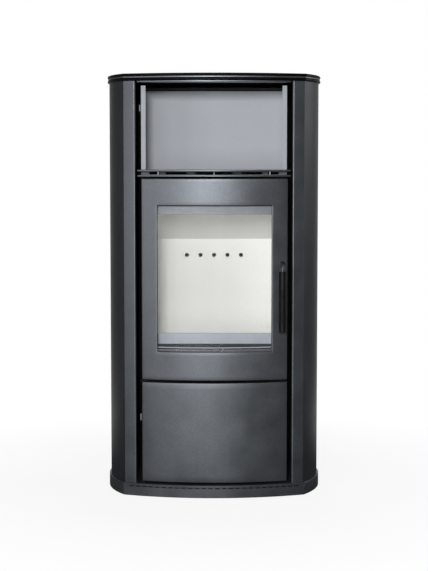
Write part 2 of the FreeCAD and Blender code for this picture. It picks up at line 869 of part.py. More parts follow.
def door_backing():
    plate = box(door_left + door_wall, door_right - door_wall, door_back_y - backing_thickness, door_back_y,
                fire_door_bottom + door_wall, fire_door_top - door_wall)
    opening = box(-fire_opening_half, fire_opening_half, apex_y, frame_y, fire_opening_low, fire_opening_high)
    block_x = door_left + hinge_block_width
    blocks = []
    for low in [fire_door_bottom, fire_door_top - hinge_block_height]:
        blocks.append(box(door_left, block_x, apex_y, frame_y, low, low + hinge_block_height))
    bush_hole = rod_y(bush_radius + seat_gap, handle_x, apex_y, frame_y, handle_height)
    return plate.cut(Part.makeCompound([opening, bush_hole] + blocks))


def seal_ring_outline(offset, y0, y1):
    half = fire_opening_half + offset
    ring = box(-half, half, y0, y1, fire_opening_low - offset, fire_opening_high + offset)
    uprights = [edge for edge in ring.Edges if edge.BoundBox.YLength > tolerance]
    return ring.makeFillet(seal_corner_radius, uprights)


def door_seal():
    outer = seal_ring_outline(seal_offset + seal_width, door_back_y, door_back_y + seal_thickness)
    inner = seal_ring_outline(seal_offset, door_back_y - overrun, door_back_y + seal_thickness + overrun)
    return outer.cut(inner)


# Latch: a bent rod through a bush in the door, a perforated grip, a cam and its keeper roller

cam_y = frame_back_y + cam_gap
grip_top = handle_height - grip_drop
grip_bottom = grip_top - grip_length


def latch_bush():
    front = front_point(door_radius, handle_x).y - bush_proud
    tube = rod_y(bush_radius, handle_x, front, door_back_y, handle_height)
    bore = rod_y(rod_radius + running_gap, handle_x, front - overrun, door_back_y + overrun, handle_height)
    return tube.cut(bore)


def latch_rod():
    bend_y = grip_y + rod_bend_radius
    bend_z = handle_height - rod_bend_radius
    end_y = cam_y + cam_thickness + nut_thickness
    level = rod_y(rod_radius, handle_x, bend_y, end_y, handle_height)
    section = Part.Face(Part.Wire(Part.makeCircle(rod_radius, Vector(handle_x, bend_y, handle_height),
                                                  Vector(0, 1, 0))))
    bend = section.revolve(Vector(handle_x, bend_y, bend_z), Vector(1, 0, 0), 90)
    drop = rod_z(rod_radius, handle_x, grip_y, grip_bottom + grip_cap, bend_z)
    return level.fuse([bend, drop]).removeSplitter()


def grip_hole(turn, z):
    """Six-sided hole through the wall of the grip, square to its axis."""
    outward = Vector(math.cos(turn), math.sin(turn), 0)
    sideways = Vector(-math.sin(turn), math.cos(turn), 0)
    start = Vector(handle_x, grip_y, z) + outward * (rod_radius + fit_gap)
    rim = []
    for index in range(7):
        angle = math.radians(60 * index)
        offset = sideways * math.cos(angle) + Vector(0, 0, math.sin(angle))
        rim.append(start + offset * grip_hole_radius)
    return Part.Face(Part.makePolygon(rim)).extrude(outward * (grip_radius + overrun))


def handle_grip():
    tube = rod_z(grip_radius, handle_x, grip_y, grip_bottom, grip_top)
    hollow = rod_z(grip_radius - grip_wall, handle_x, grip_y, grip_bottom + grip_cap, grip_top - grip_cap)
    bore = rod_z(rod_radius + seat_gap, handle_x, grip_y, grip_bottom + grip_cap, grip_top + overrun)
    first = grip_bottom + grip_hole_start_share * grip_length
    last = grip_bottom + grip_hole_end_share * grip_length
    step = (last - first) / (grip_hole_rows - 1)
    holes = []
    for row in range(grip_hole_rows):
        for place in range(grip_hole_columns):
            holes.append(grip_hole(2 * math.pi * place / grip_hole_columns, first + row * step))
    return tube.cut(hollow).cut(bore).cut(Part.makeCompound(holes))


def latch_cam():
    disc = rod_y(cam_radius, handle_x, cam_y, cam_y + cam_thickness, handle_height)
    half = cam_finger_width / 2
    finger_end = handle_height + cam_finger_length - half
    finger = box(handle_x - half, handle_x + half, cam_y, cam_y + cam_thickness, handle_height, finger_end)
    nose = rod_y(half, handle_x, cam_y, cam_y + cam_thickness, finger_end)
    bore = rod_y(rod_radius + seat_gap, handle_x, cam_y - overrun, cam_y + cam_thickness + overrun,
                 handle_height)
    return disc.fuse([finger, nose]).removeSplitter().cut(bore)


def latch_nut():
    corners = []
    start_y = cam_y + cam_thickness
    for index in range(7):
        turn = math.radians(60 * index)
        corners.append(Vector(handle_x + nut_radius * math.cos(turn), start_y,
                              handle_height + nut_radius * math.sin(turn)))
    prism_of_nut = Part.Face(Part.makePolygon(corners)).extrude(Vector(0, nut_thickness, 0))
    bore = rod_y(rod_radius + seat_gap, handle_x, start_y - overrun, start_y + nut_thickness + overrun,
                 handle_height)
    return prism_of_nut.cut(bore)


keeper_z = handle_height + cam_finger_length + keeper_roller_gap + keeper_roller_radius
keeper_y = frame_back_y + cam_gap + cam_thickness / 2
keeper_inner = keeper_roller_length / 2 + running_gap
keeper_outer = keeper_inner + keeper_sheet


def latch_keeper():
    base_low = keeper_z + keeper_roller_radius + fit_gap
    base = box(handle_x - keeper_outer, handle_x + keeper_outer, frame_back_y, frame_back_y + keeper_sheet,
               base_low, base_low + keeper_base_height)
    low = keeper_z - keeper_roller_radius
    ears = []
    for side in [-1, 1]:
        x0, x1 = sorted([handle_x + side * keeper_inner, handle_x + side * keeper_outer])
        ears.append(box(x0, x1, frame_back_y, frame_back_y + keeper_depth, low,
                        base_low + keeper_base_height))
    bracket = base.fuse(ears).removeSplitter()
    bore = rod_x(keeper_trunnion_radius + seat_gap, handle_x - keeper_outer - overrun,
                 handle_x + keeper_outer + overrun, keeper_y, keeper_z)
    return bracket.cut(bore)


def keeper_roller():
    half = keeper_roller_length / 2
    barrel = rod_x(keeper_roller_radius, handle_x - half, handle_x + half, keeper_y, keeper_z)
    trunnions = rod_x(keeper_trunnion_radius, handle_x - keeper_outer, handle_x + keeper_outer, keeper_y,
                      keeper_z)
    return barrel.fuse(trunnions)


# Lower door's catch: a magnet on the frame and a strike plate inside the door

catch_right = door_right - door_wall - magnet_inset
catch_high = lower_door_top - magnet_drop


def catch_magnet():
    return box(catch_right - magnet_width, catch_right, frame_y - magnet_depth, frame_y,
               catch_high - magnet_height, catch_high)


def catch_strike():
    back = frame_y - magnet_depth - fit_gap
    return box(catch_right - magnet_width, door_right - door_wall, back - strike_thickness, back,
               catch_high - magnet_height - strike_margin, catch_high + strike_margin)


pieces = {
    "plinth_front": plinth_front(),
    "plinth_left": plinth_side(-1),
    "plinth_right": plinth_side(1),
    "plinth_rear": plinth_rear(),
    "base_plate": base_plate(),
    "left_column": column(-1),
    "right_column": column(1),
    "left_side_panel": side_panel(-1),
    "right_side_panel": side_panel(1),
    "rear_panel": rear_panel(),
    "top_plate_lower": bead_plate(top_plate_z),
    "top_spacer": top_spacer(),
    "top_plate_upper": bead_plate(overall_height - bead_plate_thickness),
    "niche_lintel": niche_lintel(),
    "upper_shelf": shelf(upper_shelf_z),
    "lower_shelf": lower_shelf(),
    "grille_strip": grille_strip(),
    "grille_ribs": grille_ribs(),
    "niche_left_wall": niche_wall(-1),
    "niche_right_wall": niche_wall(1),
    "niche_back": niche_back(),
    "stop_lugs": stop_lugs(),
    "front_frame": front_frame(),
    "body_left_side": body_side(-1),
    "body_right_side": body_side(1),
    "firebox_back": firebox_back(),
    "firebox_floor": firebox_floor(),
    "hinge_bracket": hinge_bracket(),
    "hinge_pins": hinge_pins(),
    "hearth_brick": hearth_brick(),
    "left_lining": side_lining(-1),
    "right_lining": side_lining(1),
    "back_lining": back_lining(),
    "baffle_board": baffle_board(),
    "hearth_sill": hearth_sill(),
    "log_retainer": log_retainer(),
    "air_wash_bar": air_wash_bar(),
    "flue_spigot": flue_spigot(),
    "log_ceiling": log_ceiling(),
    "air_runners": air_runners(),
    "air_slide": air_slide(),
    "air_knob": air_knob(),
    "fire_door_panel": fire_door(),
    "glass_gasket": glass_gasket(),
    "door_glass": door_glass(),
    "glass_retainers": glass_retainers(),
    "glass_side_clips": glass_side_clips(),
    "door_backing": door_backing(),
    "door_seal": door_seal(),
    "latch_bush": latch_bush(),
    "latch_rod": latch_rod(),
    "handle_grip": handle_grip(),
    "latch_cam": latch_cam(),
    "latch_nut": latch_nut(),
    "latch_keeper": latch_keeper(),
    "keeper_roller": keeper_roller(),
    "lower_door_panel": lower_door(),
    "catch_magnet": catch_magnet(),
    "catch_strike": catch_strike(),
}

for name, shape in pieces.items():
    shape.exportStep("parts/" + name + ".step")
    print(name, len(shape.Solids), round(shape.Volume), shape.isValid())
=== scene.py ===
import math

import bmesh
import bpy
import numpy as np
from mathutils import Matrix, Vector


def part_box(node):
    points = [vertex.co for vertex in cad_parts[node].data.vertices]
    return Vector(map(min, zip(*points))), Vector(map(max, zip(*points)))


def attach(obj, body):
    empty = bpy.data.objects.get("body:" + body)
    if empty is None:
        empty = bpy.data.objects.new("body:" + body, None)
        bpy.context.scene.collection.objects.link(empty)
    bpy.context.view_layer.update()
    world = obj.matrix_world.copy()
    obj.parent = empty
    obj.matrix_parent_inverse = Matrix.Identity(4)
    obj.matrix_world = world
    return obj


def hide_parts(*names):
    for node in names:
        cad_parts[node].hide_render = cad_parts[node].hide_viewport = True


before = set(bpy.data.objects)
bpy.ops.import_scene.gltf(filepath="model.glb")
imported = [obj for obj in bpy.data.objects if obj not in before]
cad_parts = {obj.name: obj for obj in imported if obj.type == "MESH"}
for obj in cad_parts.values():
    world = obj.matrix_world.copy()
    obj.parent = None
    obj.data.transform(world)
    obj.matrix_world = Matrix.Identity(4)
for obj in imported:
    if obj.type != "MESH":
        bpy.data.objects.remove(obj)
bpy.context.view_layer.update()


# Plinth
# Strips of sheet steel in metallic grey heat paint stand on the floor and carry the stove. The front strip
# is rolled to the stove's bow, with a row of air slots punched under its top edge. A black sheet behind
# the slots is painted shade: it keeps the white floor from showing through them.

front_radius = 0.700
half_width = 0.300
corner_inset = 0.050
rear_inset = 0.0787
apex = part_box("plinth_front")[0].y
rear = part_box("base_plate")[1].y
front_centre = apex + front_radius
corner_depth = front_radius - math.sqrt(front_radius ** 2 - (half_width - corner_inset) ** 2)
side_length = rear - apex - corner_depth
side_square = side_length ** 2 + rear_inset * (rear_inset - corner_inset)
side_root = math.sqrt((corner_inset * side_length) ** 2
                      + (rear_inset - corner_inset) * corner_inset * side_square)
side_rise = corner_inset * side_square / (corner_inset * side_length + side_root)
side_radius = (corner_inset ** 2 + side_rise ** 2) / (2 * corner_inset)
side_centre = np.array([half_width - side_radius, apex + corner_depth + side_rise])


def front_run(radius, x0, x1, count=49):
    """Points along the bow of the front: a circle about the bow's centre, from one half-width to another."""
    angle = np.linspace(math.asin(x0 / radius), math.asin(x1 / radius), count)
    return np.column_stack([radius * np.sin(angle), front_centre - radius * np.cos(angle)])


def side_run(inset, y0, y1, sign, count=41):
    """Points along the bow of one side: a circle about the side's centre, drawn in by inset."""
    radius = side_radius - inset
    start = math.asin((y0 - side_centre[1]) / radius)
    end = math.asin((y1 - side_centre[1]) / radius)
    angle = np.linspace(start, end, count)
    x = side_centre[0] + radius * np.cos(angle)
    y = side_centre[1] + radius * np.sin(angle)
    return np.column_stack([sign * x, y])


def corner(inset):
    """Where the front's bow meets the side's bow: two circles, both drawn in by inset, cross there."""
    front_reach = front_radius - inset
    side_reach = side_radius - inset
    across = side_centre[1] - front_centre
    apart = math.hypot(side_centre[0], across)
    along = (front_reach ** 2 - side_reach ** 2 + apart ** 2) / (2 * apart)
    off = math.sqrt(front_reach ** 2 - along ** 2)
    x = side_centre[0] * along / apart - off * across / apart
    y = front_centre + across * along / apart + off * side_centre[0] / apart
    return x, y


sharp_edge = math.radians(35)
bevelled_edge = math.radians(50)
bevel_steps = 2


def piece(name, points, faces, bevel=0.0, smooth=True):
    """A mesh from points and faces. It is flat, or smooth but for its sharp edges, and the sharpest edges
    may get a small bevel."""
    mesh = bpy.data.meshes.new(name)
    mesh.from_pydata(np.asarray(points).tolist(), [], faces)
    mesh.polygons.foreach_set("use_smooth", np.full(len(mesh.polygons), smooth))
    if smooth:
        mesh.set_sharp_from_angle(angle=sharp_edge)
    made = bpy.data.objects.new(name, mesh)
    bpy.context.scene.collection.objects.link(made)
    if bevel:
        edge = made.modifiers.new("edge", "BEVEL")
        edge.width = bevel
        edge.segments = bevel_steps
        edge.limit_method = "ANGLE"
        edge.angle_limit = bevelled_edge
    return made


def upright(name, plan, z0, z1, bevel=0.0005):
    """A plan raised from z0 to z1: its outline at both heights, quads between, a flat face at each end."""
    count = len(plan)
    ahead = np.roll(plan, -1, axis=0)
    if np.sum(plan[:, 0] * ahead[:, 1] - plan[:, 1] * ahead[:, 0]) < 0:
        plan = plan[::-1]
    low = np.column_stack([plan, np.full(count, z0)])
    high = np.column_stack([plan, np.full(count, z1)])
    here = np.arange(count)
    after = np.roll(here, -1)
    walls = np.column_stack([here, after, after + count, here + count]).tolist()
    ends = [here[::-1].tolist(), (here + count).tolist()]
    return piece(name, np.vstack([low, high]), walls + ends, bevel)


def grid_faces(rows, columns, wrap_rows=False, wrap_columns=False):
    """Quads of a grid of points that is numbered row by row. When wrapped, the last row or column joins the
    first."""
    row = np.arange(rows if wrap_rows else rows - 1)[:, None]
    column = np.arange(columns if wrap_columns else columns - 1)[None, :]
    next_row = (row + 1) % rows
    next_column = (column + 1) % columns
    corners = [row * columns + column, row * columns + next_column, next_row * columns + next_column,
               next_row * columns + column]
    return np.stack(np.broadcast_arrays(*corners), axis=-1).reshape(-1, 4)


def srgb(code):
    """A colour written as sRGB hex, in the linear values that shaders take."""
    parts = np.array([int(code[i:i + 2], 16) for i in (1, 3, 5)]) / 255
    linear = np.where(parts <= 0.04045, parts / 12.92, ((parts + 0.055) / 1.055) ** 2.4)
    return (*linear.tolist(), 1.0)


def add(owner, kind, inputs=None, **settings):
    """Adds one shader node to a material or the world, with its settings, and fills each of its inputs with
    a value or a link."""
    new = owner.node_tree.nodes.new(kind)
    for key, value in settings.items():
        setattr(new, key, value)
    for key, value in (inputs or {}).items():
        if isinstance(value, bpy.types.NodeSocket):
            owner.node_tree.links.new(value, new.inputs[key])
        else:
            new.inputs[key].default_value = value
    return new


def finish_of(name):
    """A new material with no nodes yet."""
    material = bpy.data.materials.new(name)
    material.use_nodes = True
    material.node_tree.nodes.clear()
    return material


def sprayed_paint(name, dark, light, roughness, metallic, specular):
    """Heat paint sprayed on sheet steel: fine metal flakes glint one by one and the film has a slight orange
    peel. Flakes are about 0.1 mm across, and are drawn at 1.2 mm so that they show."""
    flake_size = 0.0012
    cloud_size = 0.060
    peel_size = 0.0025
    peel_depth = 0.0003
    gloss_range = 0.03
    material = finish_of(name)
    place = add(material, "ShaderNodeTexCoord").outputs["Object"]
    flakes = add(material, "ShaderNodeTexVoronoi", {"Vector": place, "Scale": 1 / flake_size})
    cloud = add(material, "ShaderNodeTexNoise", {"Vector": place, "Scale": 1 / cloud_size, "Detail": 3.0})
    share = add(material, "ShaderNodeMath", {0: flakes.outputs["Color"], 1: cloud.outputs["Fac"]},
                operation="MULTIPLY")
    colour = add(material, "ShaderNodeMix", {
        "Factor": share.outputs[0], "A": srgb(dark), "B": srgb(light)}, data_type="RGBA")
    gloss = add(material, "ShaderNodeMapRange", {
        "Value": cloud.outputs["Fac"], "From Min": 0.3, "From Max": 0.7,
        "To Min": roughness - gloss_range, "To Max": roughness + gloss_range})
    peel = add(material, "ShaderNodeTexNoise", {"Vector": place, "Scale": 1 / peel_size, "Detail": 2.0})
    bump = add(material, "ShaderNodeBump", {
        "Height": peel.outputs["Fac"], "Strength": 0.05, "Distance": peel_depth})
    shader = add(material, "ShaderNodeBsdfPrincipled", {
        "Base Color": colour.outputs["Result"], "Metallic": metallic, "Roughness": gloss.outputs[0],
        "Specular IOR Level": specular, "Normal": bump.outputs[0]})
    add(material, "ShaderNodeOutputMaterial", {"Surface": shader.outputs[0]})
    return material


grey_paint = sprayed_paint("metallic_grey_heat_paint", "#44474b", "#63676c", 0.40, 0.8, 0.5)


def dress(made, material, body, slot, *nodes):
    """Gives a piece its finish and its body, and hides the plain nodes it stands for. The slot is not used.
    """
    made.data.materials.append(material)
    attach(made, body)
    if nodes:
        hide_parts(*nodes)
    return made


def paint(material, *nodes):
    """Gives CAD nodes, whose shape is kept, their finish."""
    for node in nodes:
        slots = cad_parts[node].data.materials
        slots.clear()
        slots.append(material)


plinth_sheet = 0.003
plinth_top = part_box("plinth_front")[1].z
slot_length = 0.0135
slot_pitch = 0.0186
slot_land = 0.002
slot_height = 0.003
slot_high = plinth_top - slot_land
slot_low = slot_high - slot_height
slot_count = 26
corner_seam = 0.0002


def slotted_strip():
    """The bow from corner to corner, in columns that end at each slot's edges and rows that end at the
    slots' top and bottom: faces inside a slot are left out, and the strip is given its thickness."""
    reach = corner(0)[0] - corner_seam
    centres = (np.arange(slot_count) - (slot_count - 1) / 2) * slot_pitch / front_radius
    half = slot_length / 2 / front_radius
    edge = math.asin(reach / front_radius)
    angle = np.concatenate([[-edge], np.column_stack([centres - half, centres + half]).ravel(), [edge]])
    height = np.array([0.0, slot_low, slot_high, plinth_top])
    x = front_radius * np.sin(angle)
    y = front_centre - front_radius * np.cos(angle)
    rows = len(height)
    level = np.repeat(height[:, None], len(x), 1)
    points = np.stack([np.tile(x, (rows, 1)), np.tile(y, (rows, 1)), level], -1)
    faces = grid_faces(rows, len(x))
    row = np.arange(len(faces)) // (len(x) - 1)
    column = np.arange(len(faces)) % (len(x) - 1)
    kept = ~((row == 1) & (column % 2 == 1))
    made = piece("plinth_front_strip", points.reshape(-1, 3), faces[kept].tolist(), smooth=False)
    wall = made.modifiers.new("sheet", "SOLIDIFY")
    wall.thickness = plinth_sheet
    wall.offset = -1
    return made


dress(slotted_strip(), grey_paint, "stove", "metallic_grey_paint", "plinth_front")


def side_band(sign, inset, sheet, y_end):
    """Plan of a strip down one side: the side's bow at two insets, joined at the front and at the back."""
    outer = side_run(inset, corner(inset)[1], y_end, sign)
    inner = side_run(inset + sheet, y_end, corner(inset + sheet)[1], sign)
    return np.vstack([outer, inner])


for hand, sign in (("left", -1), ("right", 1)):
    strip = upright("plinth_" + hand + "_strip", side_band(sign, 0, plinth_sheet, rear), 0, plinth_top)
    dress(strip, grey_paint, "stove", "metallic_grey_paint", "plinth_" + hand)
paint(grey_paint, "plinth_rear")
black_paint = sprayed_paint("matt_black_heat_paint", "#0f1011", "#1a1b1d", 0.65, 0.0, 0.08)
# A black sheet behind the slots, as painted shade where the floor would show through.
shade_sheet_gap = 0.004
shade_sheet_thickness = 0.001
shade_sheet_drop = 0.010
shade_sheet_half = corner(plinth_sheet + shade_sheet_gap)[0] - shade_sheet_thickness
shade_sheet_radius = front_radius - plinth_sheet - shade_sheet_gap
shade_sheet_plan = np.vstack([front_run(shade_sheet_radius, -shade_sheet_half, shade_sheet_half),
                       front_run(shade_sheet_radius - shade_sheet_thickness, shade_sheet_half, -shade_sheet_half)])
shade_sheet = upright("plinth_shade_sheet", shade_sheet_plan, slot_low - shade_sheet_drop, plinth_top)
dress(shade_sheet, black_paint, "stove", "black_stove_paint")


# Base plate
# A steel plate with the stove's whole plan is welded on the plinth and painted with it. Its edge shows as a
# fine line above the strips.

plate_edge = 0.0008


def outline(inset):
    """The stove's whole plan, drawn in by inset: front bow, right side, straight back and left side."""
    x, y = corner(inset)
    back = rear - inset
    front = front_run(front_radius - inset, -x, x)
    right = side_run(inset, y, back, 1)
    left = side_run(inset, back, y, -1)
    return np.vstack([front[:-1], right, left[:-1]])


base_low, base_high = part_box("base_plate")
base = upright("base_plate_edge", outline(0), base_low.z, base_high.z, plate_edge)
dress(base, grey_paint, "stove", "metallic_grey_paint", "base_plate")


# Inner body
# Folded and welded sheet round the log store and the firebox, painted matt black, with the front frame that
# both doors close on. Heat has greyed the paint of the firebox's back. The hearth's sill has the same dark
# grey paint, partly heat-greyed and partly painted shade below the log retainer, seen through the window.

paint(black_paint, "front_frame", "body_left_side", "body_right_side", "firebox_floor", "log_ceiling",
      "air_runners", "hinge_bracket", "air_wash_bar")
scorched_and_shade_paint = sprayed_paint("heat_greyed_paint_and_painted_shade", "#3c3e42", "#4b4e52", 0.60, 0.0, 0.1)
# The sill's dark grey is partly painted shade below the log retainer.
paint(scorched_and_shade_paint, "hearth_sill", "firebox_back")


# Firebox lining
# Boards pressed from vermiculite stand round the fire, with a thicker brick as the hearth and a sloping
# baffle on top. They are cream, matt and flecked with flat mica grains of 1 to 4 mm.


def vermiculite():
    """Flat mica grains of about 3 mm in two creams, a finer speckle, and a shallow grain in the surface."""
    grain_size = 0.003
    grain_depth = 0.0006
    speckle_size = 0.0012
    patch_size = 0.050
    material = finish_of("pressed_vermiculite")
    place = add(material, "ShaderNodeTexCoord").outputs["Object"]
    grains = add(material, "ShaderNodeTexVoronoi", {"Vector": place, "Scale": 1 / grain_size})
    speckle = add(material, "ShaderNodeTexNoise", {
        "Vector": place, "Scale": 1 / speckle_size, "Detail": 2.0})
    patch = add(material, "ShaderNodeTexNoise", {"Vector": place, "Scale": 1 / patch_size, "Detail": 2.0})
    grain_tone = add(material, "ShaderNodeMix", {
        "Factor": grains.outputs["Color"], "A": srgb("#e9e9e6"), "B": srgb("#f4f4f1")}, data_type="RGBA")
    fleck = add(material, "ShaderNodeMapRange", {
        "Value": speckle.outputs["Fac"], "From Min": 0.62, "From Max": 0.75, "To Max": 0.35})
    tone = add(material, "ShaderNodeMix", {
        "Factor": fleck.outputs[0], "A": grain_tone.outputs["Result"], "B": srgb("#cfcdc2")},
        data_type="RGBA")
    shade = add(material, "ShaderNodeMapRange", {
        "Value": patch.outputs["Fac"], "From Min": 0.3, "From Max": 0.8, "To Max": 0.15})
    body = add(material, "ShaderNodeMix", {
        "Factor": shade.outputs[0], "A": tone.outputs["Result"], "B": srgb("#dfe0db")}, data_type="RGBA")
    bump = add(material, "ShaderNodeBump", {
        "Height": grains.outputs["Distance"], "Strength": 0.15, "Distance": grain_depth})
    shader = add(material, "ShaderNodeBsdfPrincipled", {
        "Base Color": body.outputs["Result"], "Roughness": 0.9, "Specular IOR Level": 0.2,
        "Normal": bump.outputs[0]})
    add(material, "ShaderNodeOutputMaterial", {"Surface": shader.outputs[0]})
    return material


paint(vermiculite(), "left_lining", "right_lining", "back_lining", "hearth_brick", "baffle_board")


# Log retainer
# A folded steel bar behind the bottom of the window keeps logs off the glass. It is bare steel, bleached by
# the heat of the fire.


def plain_steel(name, dark, light, roughness, grain, metallic):
    """Bare steel with faint stains. Grain is the spacing in metres of the fine marks that rolling or turning
    leaves, and metallic says how much of the bright metal its oxide lets through."""
    mark_depth = 0.0002
    stain_size = 0.035
    gloss_range = 0.06
    material = finish_of(name)
    place = add(material, "ShaderNodeTexCoord").outputs["Object"]
    marks = add(material, "ShaderNodeTexNoise", {"Vector": place, "Scale": 1 / grain, "Detail": 3.0})
    stain = add(material, "ShaderNodeTexNoise", {"Vector": place, "Scale": 1 / stain_size, "Detail": 4.0})
    colour = add(material, "ShaderNodeMix", {
        "Factor": stain.outputs["Fac"], "A": srgb(dark), "B": srgb(light)}, data_type="RGBA")
    gloss = add(material, "ShaderNodeMapRange", {
        "Value": marks.outputs["Fac"], "From Min": 0.3, "From Max": 0.7,
        "To Min": roughness - gloss_range, "To Max": roughness + gloss_range})
    bump = add(material, "ShaderNodeBump", {
        "Height": marks.outputs["Fac"], "Strength": 0.06, "Distance": mark_depth})
    shader = add(material, "ShaderNodeBsdfPrincipled", {
        "Base Color": colour.outputs["Result"], "Metallic": metallic, "Roughness": gloss.outputs[0],
        "Normal": bump.outputs[0]})
    add(material, "ShaderNodeOutputMaterial", {"Surface": shader.outputs[0]})
    return material


bleached_steel_and_highlight = plain_steel("heat_bleached_steel_and_painted_highlight", "#989da5", "#aeb3bb", 0.60, 0.0015, 0.20)
paint(bleached_steel_and_highlight, "log_retainer")


# Flue spigot
# A rolled tube welded through the firebox back, with a flange round it, takes the flue pipe behind the
# stove. It is painted matt black.

fine_edge = 0.0004
pole_gap = 1e-6


def turned(name, profile, centre, bevel=0.0, count=64):
    """A closed outline of radius and depth turned about an axis along Y through centre, given as x and z.
    Points that lie on the axis are merged, which closes the pole there."""
    angle = np.linspace(0, 2 * math.pi, count, endpoint=False)[None, :]
    radius = profile[:, :1]
    points = np.stack([centre[0] + radius * np.cos(angle), np.repeat(profile[:, 1:], count, 1),
                       centre[1] + radius * np.sin(angle)], -1)
    faces = grid_faces(len(profile), count, True, True)[:, ::-1]
    made = piece(name, points.reshape(-1, 3), faces.tolist(), bevel)
    shape = bmesh.new()
    shape.from_mesh(made.data)
    bmesh.ops.remove_doubles(shape, verts=shape.verts, dist=pole_gap)
    shape.to_mesh(made.data)
    shape.free()
    return made


spigot_low, spigot_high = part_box("flue_spigot")
flue_radius = 0.075
flue_bore = 0.072
flange_radius = 0.095
flange_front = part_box("firebox_back")[1].y
flange_sheet = 0.003
flue_centre = (0.0, (spigot_low.z + spigot_high.z) / 2)
spigot_outline = np.array([
    [flue_bore, spigot_high.y], [flue_bore, spigot_low.y], [flue_radius, spigot_low.y],
    [flue_radius, flange_front], [flange_radius, flange_front], [flange_radius, flange_front + flange_sheet],
    [flue_radius, flange_front + flange_sheet], [flue_radius, spigot_high.y]])
flue_tube = turned("flue_tube", spigot_outline, flue_centre, fine_edge)
dress(flue_tube, black_paint, "stove", "black_stove_paint", "flue_spigot")


# Casing
# Two bowed side panels in dark anthracite paint, and two narrow grey columns whose inner edge is folded back
# round a small bend, which catches the light as a bright upright line. The panels' paint is darker than the
# columns', partly as their own tone and partly as painted shade on faces turned away from the front. A flat
# dark grey sheet, screwed to a flange of each side panel, closes the back; the flanges are black as painted
# shade, so that the gaps beside the doors look dark.

panel_inset = 0.005
panel_sheet = 0.002
panel_low, panel_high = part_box("left_side_panel")
# Darker than the columns' grey: partly the panels' own tone, partly painted shade on their side faces.
side_paint = sprayed_paint("anthracite_heat_paint", "#282b2e", "#3d4145", 0.42, 0.7, 0.36)
for hand, sign in (("left", -1), ("right", 1)):
    panel = upright("side_panel_" + hand, side_band(sign, panel_inset, panel_sheet, panel_high.y),
                    panel_low.z, panel_high.z)
    dress(panel, side_paint, "stove", "metallic_grey_paint", hand + "_side_panel")

column_bend = 0.004
column_bevel = 0.0003
column_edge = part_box("right_column")[0].x
column_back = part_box("right_column")[1].y


def column_plan(sign):
    """Plan of a folded strip: the front bow from the corner to the bend, a quarter bend, a leg straight
    back, and the same line again one sheet thickness further in."""
    reach = front_radius - panel_inset
    bend_x = column_edge + column_bend
    bend_y = front_centre - math.sqrt((reach - column_bend) ** 2 - bend_x ** 2)
    toward = math.atan2(bend_y - front_centre, bend_x)
    turn = np.linspace(toward, -math.pi, 13)
    runs = []
    for inset in (0, panel_sheet):
        tangent = (reach - inset) * math.cos(toward)
        face = front_run(reach - inset, corner(panel_inset + inset)[0], tangent, 17)
        radius = column_bend - inset
        bend = np.column_stack([bend_x + radius * np.cos(turn), bend_y + radius * np.sin(turn)])
        leg = np.array([[column_edge + inset, column_back]])
        runs.append(np.vstack([face[:-1], bend, leg]))
    return np.vstack([runs[0], runs[1][::-1]]) * np.array([sign, 1])


column_low, column_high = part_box("right_column")
for hand, sign in (("left", -1), ("right", 1)):
    column = upright("front_column_" + hand, column_plan(sign), column_low.z, column_high.z, column_bevel)
    dress(column, grey_paint, "stove", "metallic_grey_paint", hand + "_column")
shade_paint = sprayed_paint("dark_grey_heat_paint", "#37393c", "#494c50", 0.50, 0.3, 0.3)
paint(shade_paint, "rear_panel")

# The rear flanges are black as painted shade for the gaps beside the doors.
flange_width = 0.016
flange_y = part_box("rear_panel")[0].y
for hand, sign in (("left", -1), ("right", 1)):
    outer = side_run(panel_inset + panel_sheet, flange_y - panel_sheet, flange_y, sign, 2)
    inner = outer[::-1] - np.array([sign * flange_width, 0])
    flange = upright("side_panel_rear_flange_" + hand, np.vstack([outer, inner]), panel_low.z, panel_high.z)
    dress(flange, black_paint, "stove", "black_stove_paint")


screw_radius = 0.0042
screw_height = 0.0024
key_share = 0.92
bright_steel = plain_steel("zinc_plated_steel", "#66696d", "#7c7f83", 0.40, 0.0006, 1.0)


def screw_heads(name, places, sign, body):
    """Button heads on flat faces that look along Y: a turned profile with a low dome, whose inner rings are
    drawn out to a hexagon and sunk for the key, copied to every place."""
    count = 24
    turn = np.linspace(0, 2 * math.pi, count, endpoint=False)
    hexagon = 1 / np.cos((turn + math.pi / 6) % (math.pi / 3) - math.pi / 6)
    radius = np.array([1.0, 1.0, 0.92, 0.70, 0.46, 0.42, 0.06])[:, None] * screw_radius
    height = np.array([0.0, 0.25, 0.62, 0.90, 1.0, 0.35, 0.35])[:, None] * screw_height
    keyed = np.array([0, 0, 0, 0, 1, 1, 0])[:, None]
    reach = radius * np.where(keyed, hexagon * key_share, 1.0)
    x = reach * np.cos(turn)
    z = reach * np.sin(turn) * -sign
    y = np.repeat(height * sign, count, 1)
    head = np.stack([x, y, z], -1).reshape(-1, 3)
    places = np.asarray(places)
    points = (places[:, None, :] + head[None]).reshape(-1, 3)
    shell = grid_faces(len(radius), count, False, True)
    step = np.arange(len(places))[:, None, None] * len(head)
    faces = (shell[None] + step).reshape(-1, 4).tolist()
    caps = np.arange(count)[None] + count * (len(radius) - 1) + step[:, 0]
    bases = np.arange(count)[None, ::-1] + step[:, 0]
    made = piece(name, points, faces + caps.tolist() + bases.tolist())
    dress(made, bright_steel, body, "bright_steel")


screw_rows = 7
screw_edge = 0.012
rear_low, rear_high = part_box("rear_panel")
screw_x = rear_high.x - screw_edge
screw_z = np.linspace(rear_low.z + 2 * screw_edge, rear_high.z - 2 * screw_edge, screw_rows)
rear_screws = np.array([[side, rear_high.y, z] for side in (-screw_x, screw_x) for z in screw_z])
screw_heads("rear_panel_screws", rear_screws, 1, "stove")


# Shelves and convection grille
# Two thin bowed plates cross the front over the fire door, with a slotted strip and three ribs between them.
# Warm air comes out through the slots, and the upper plate is the floor of the niche. The strip's dark grey
# paint is painted shade for the shadow under the upper plate.

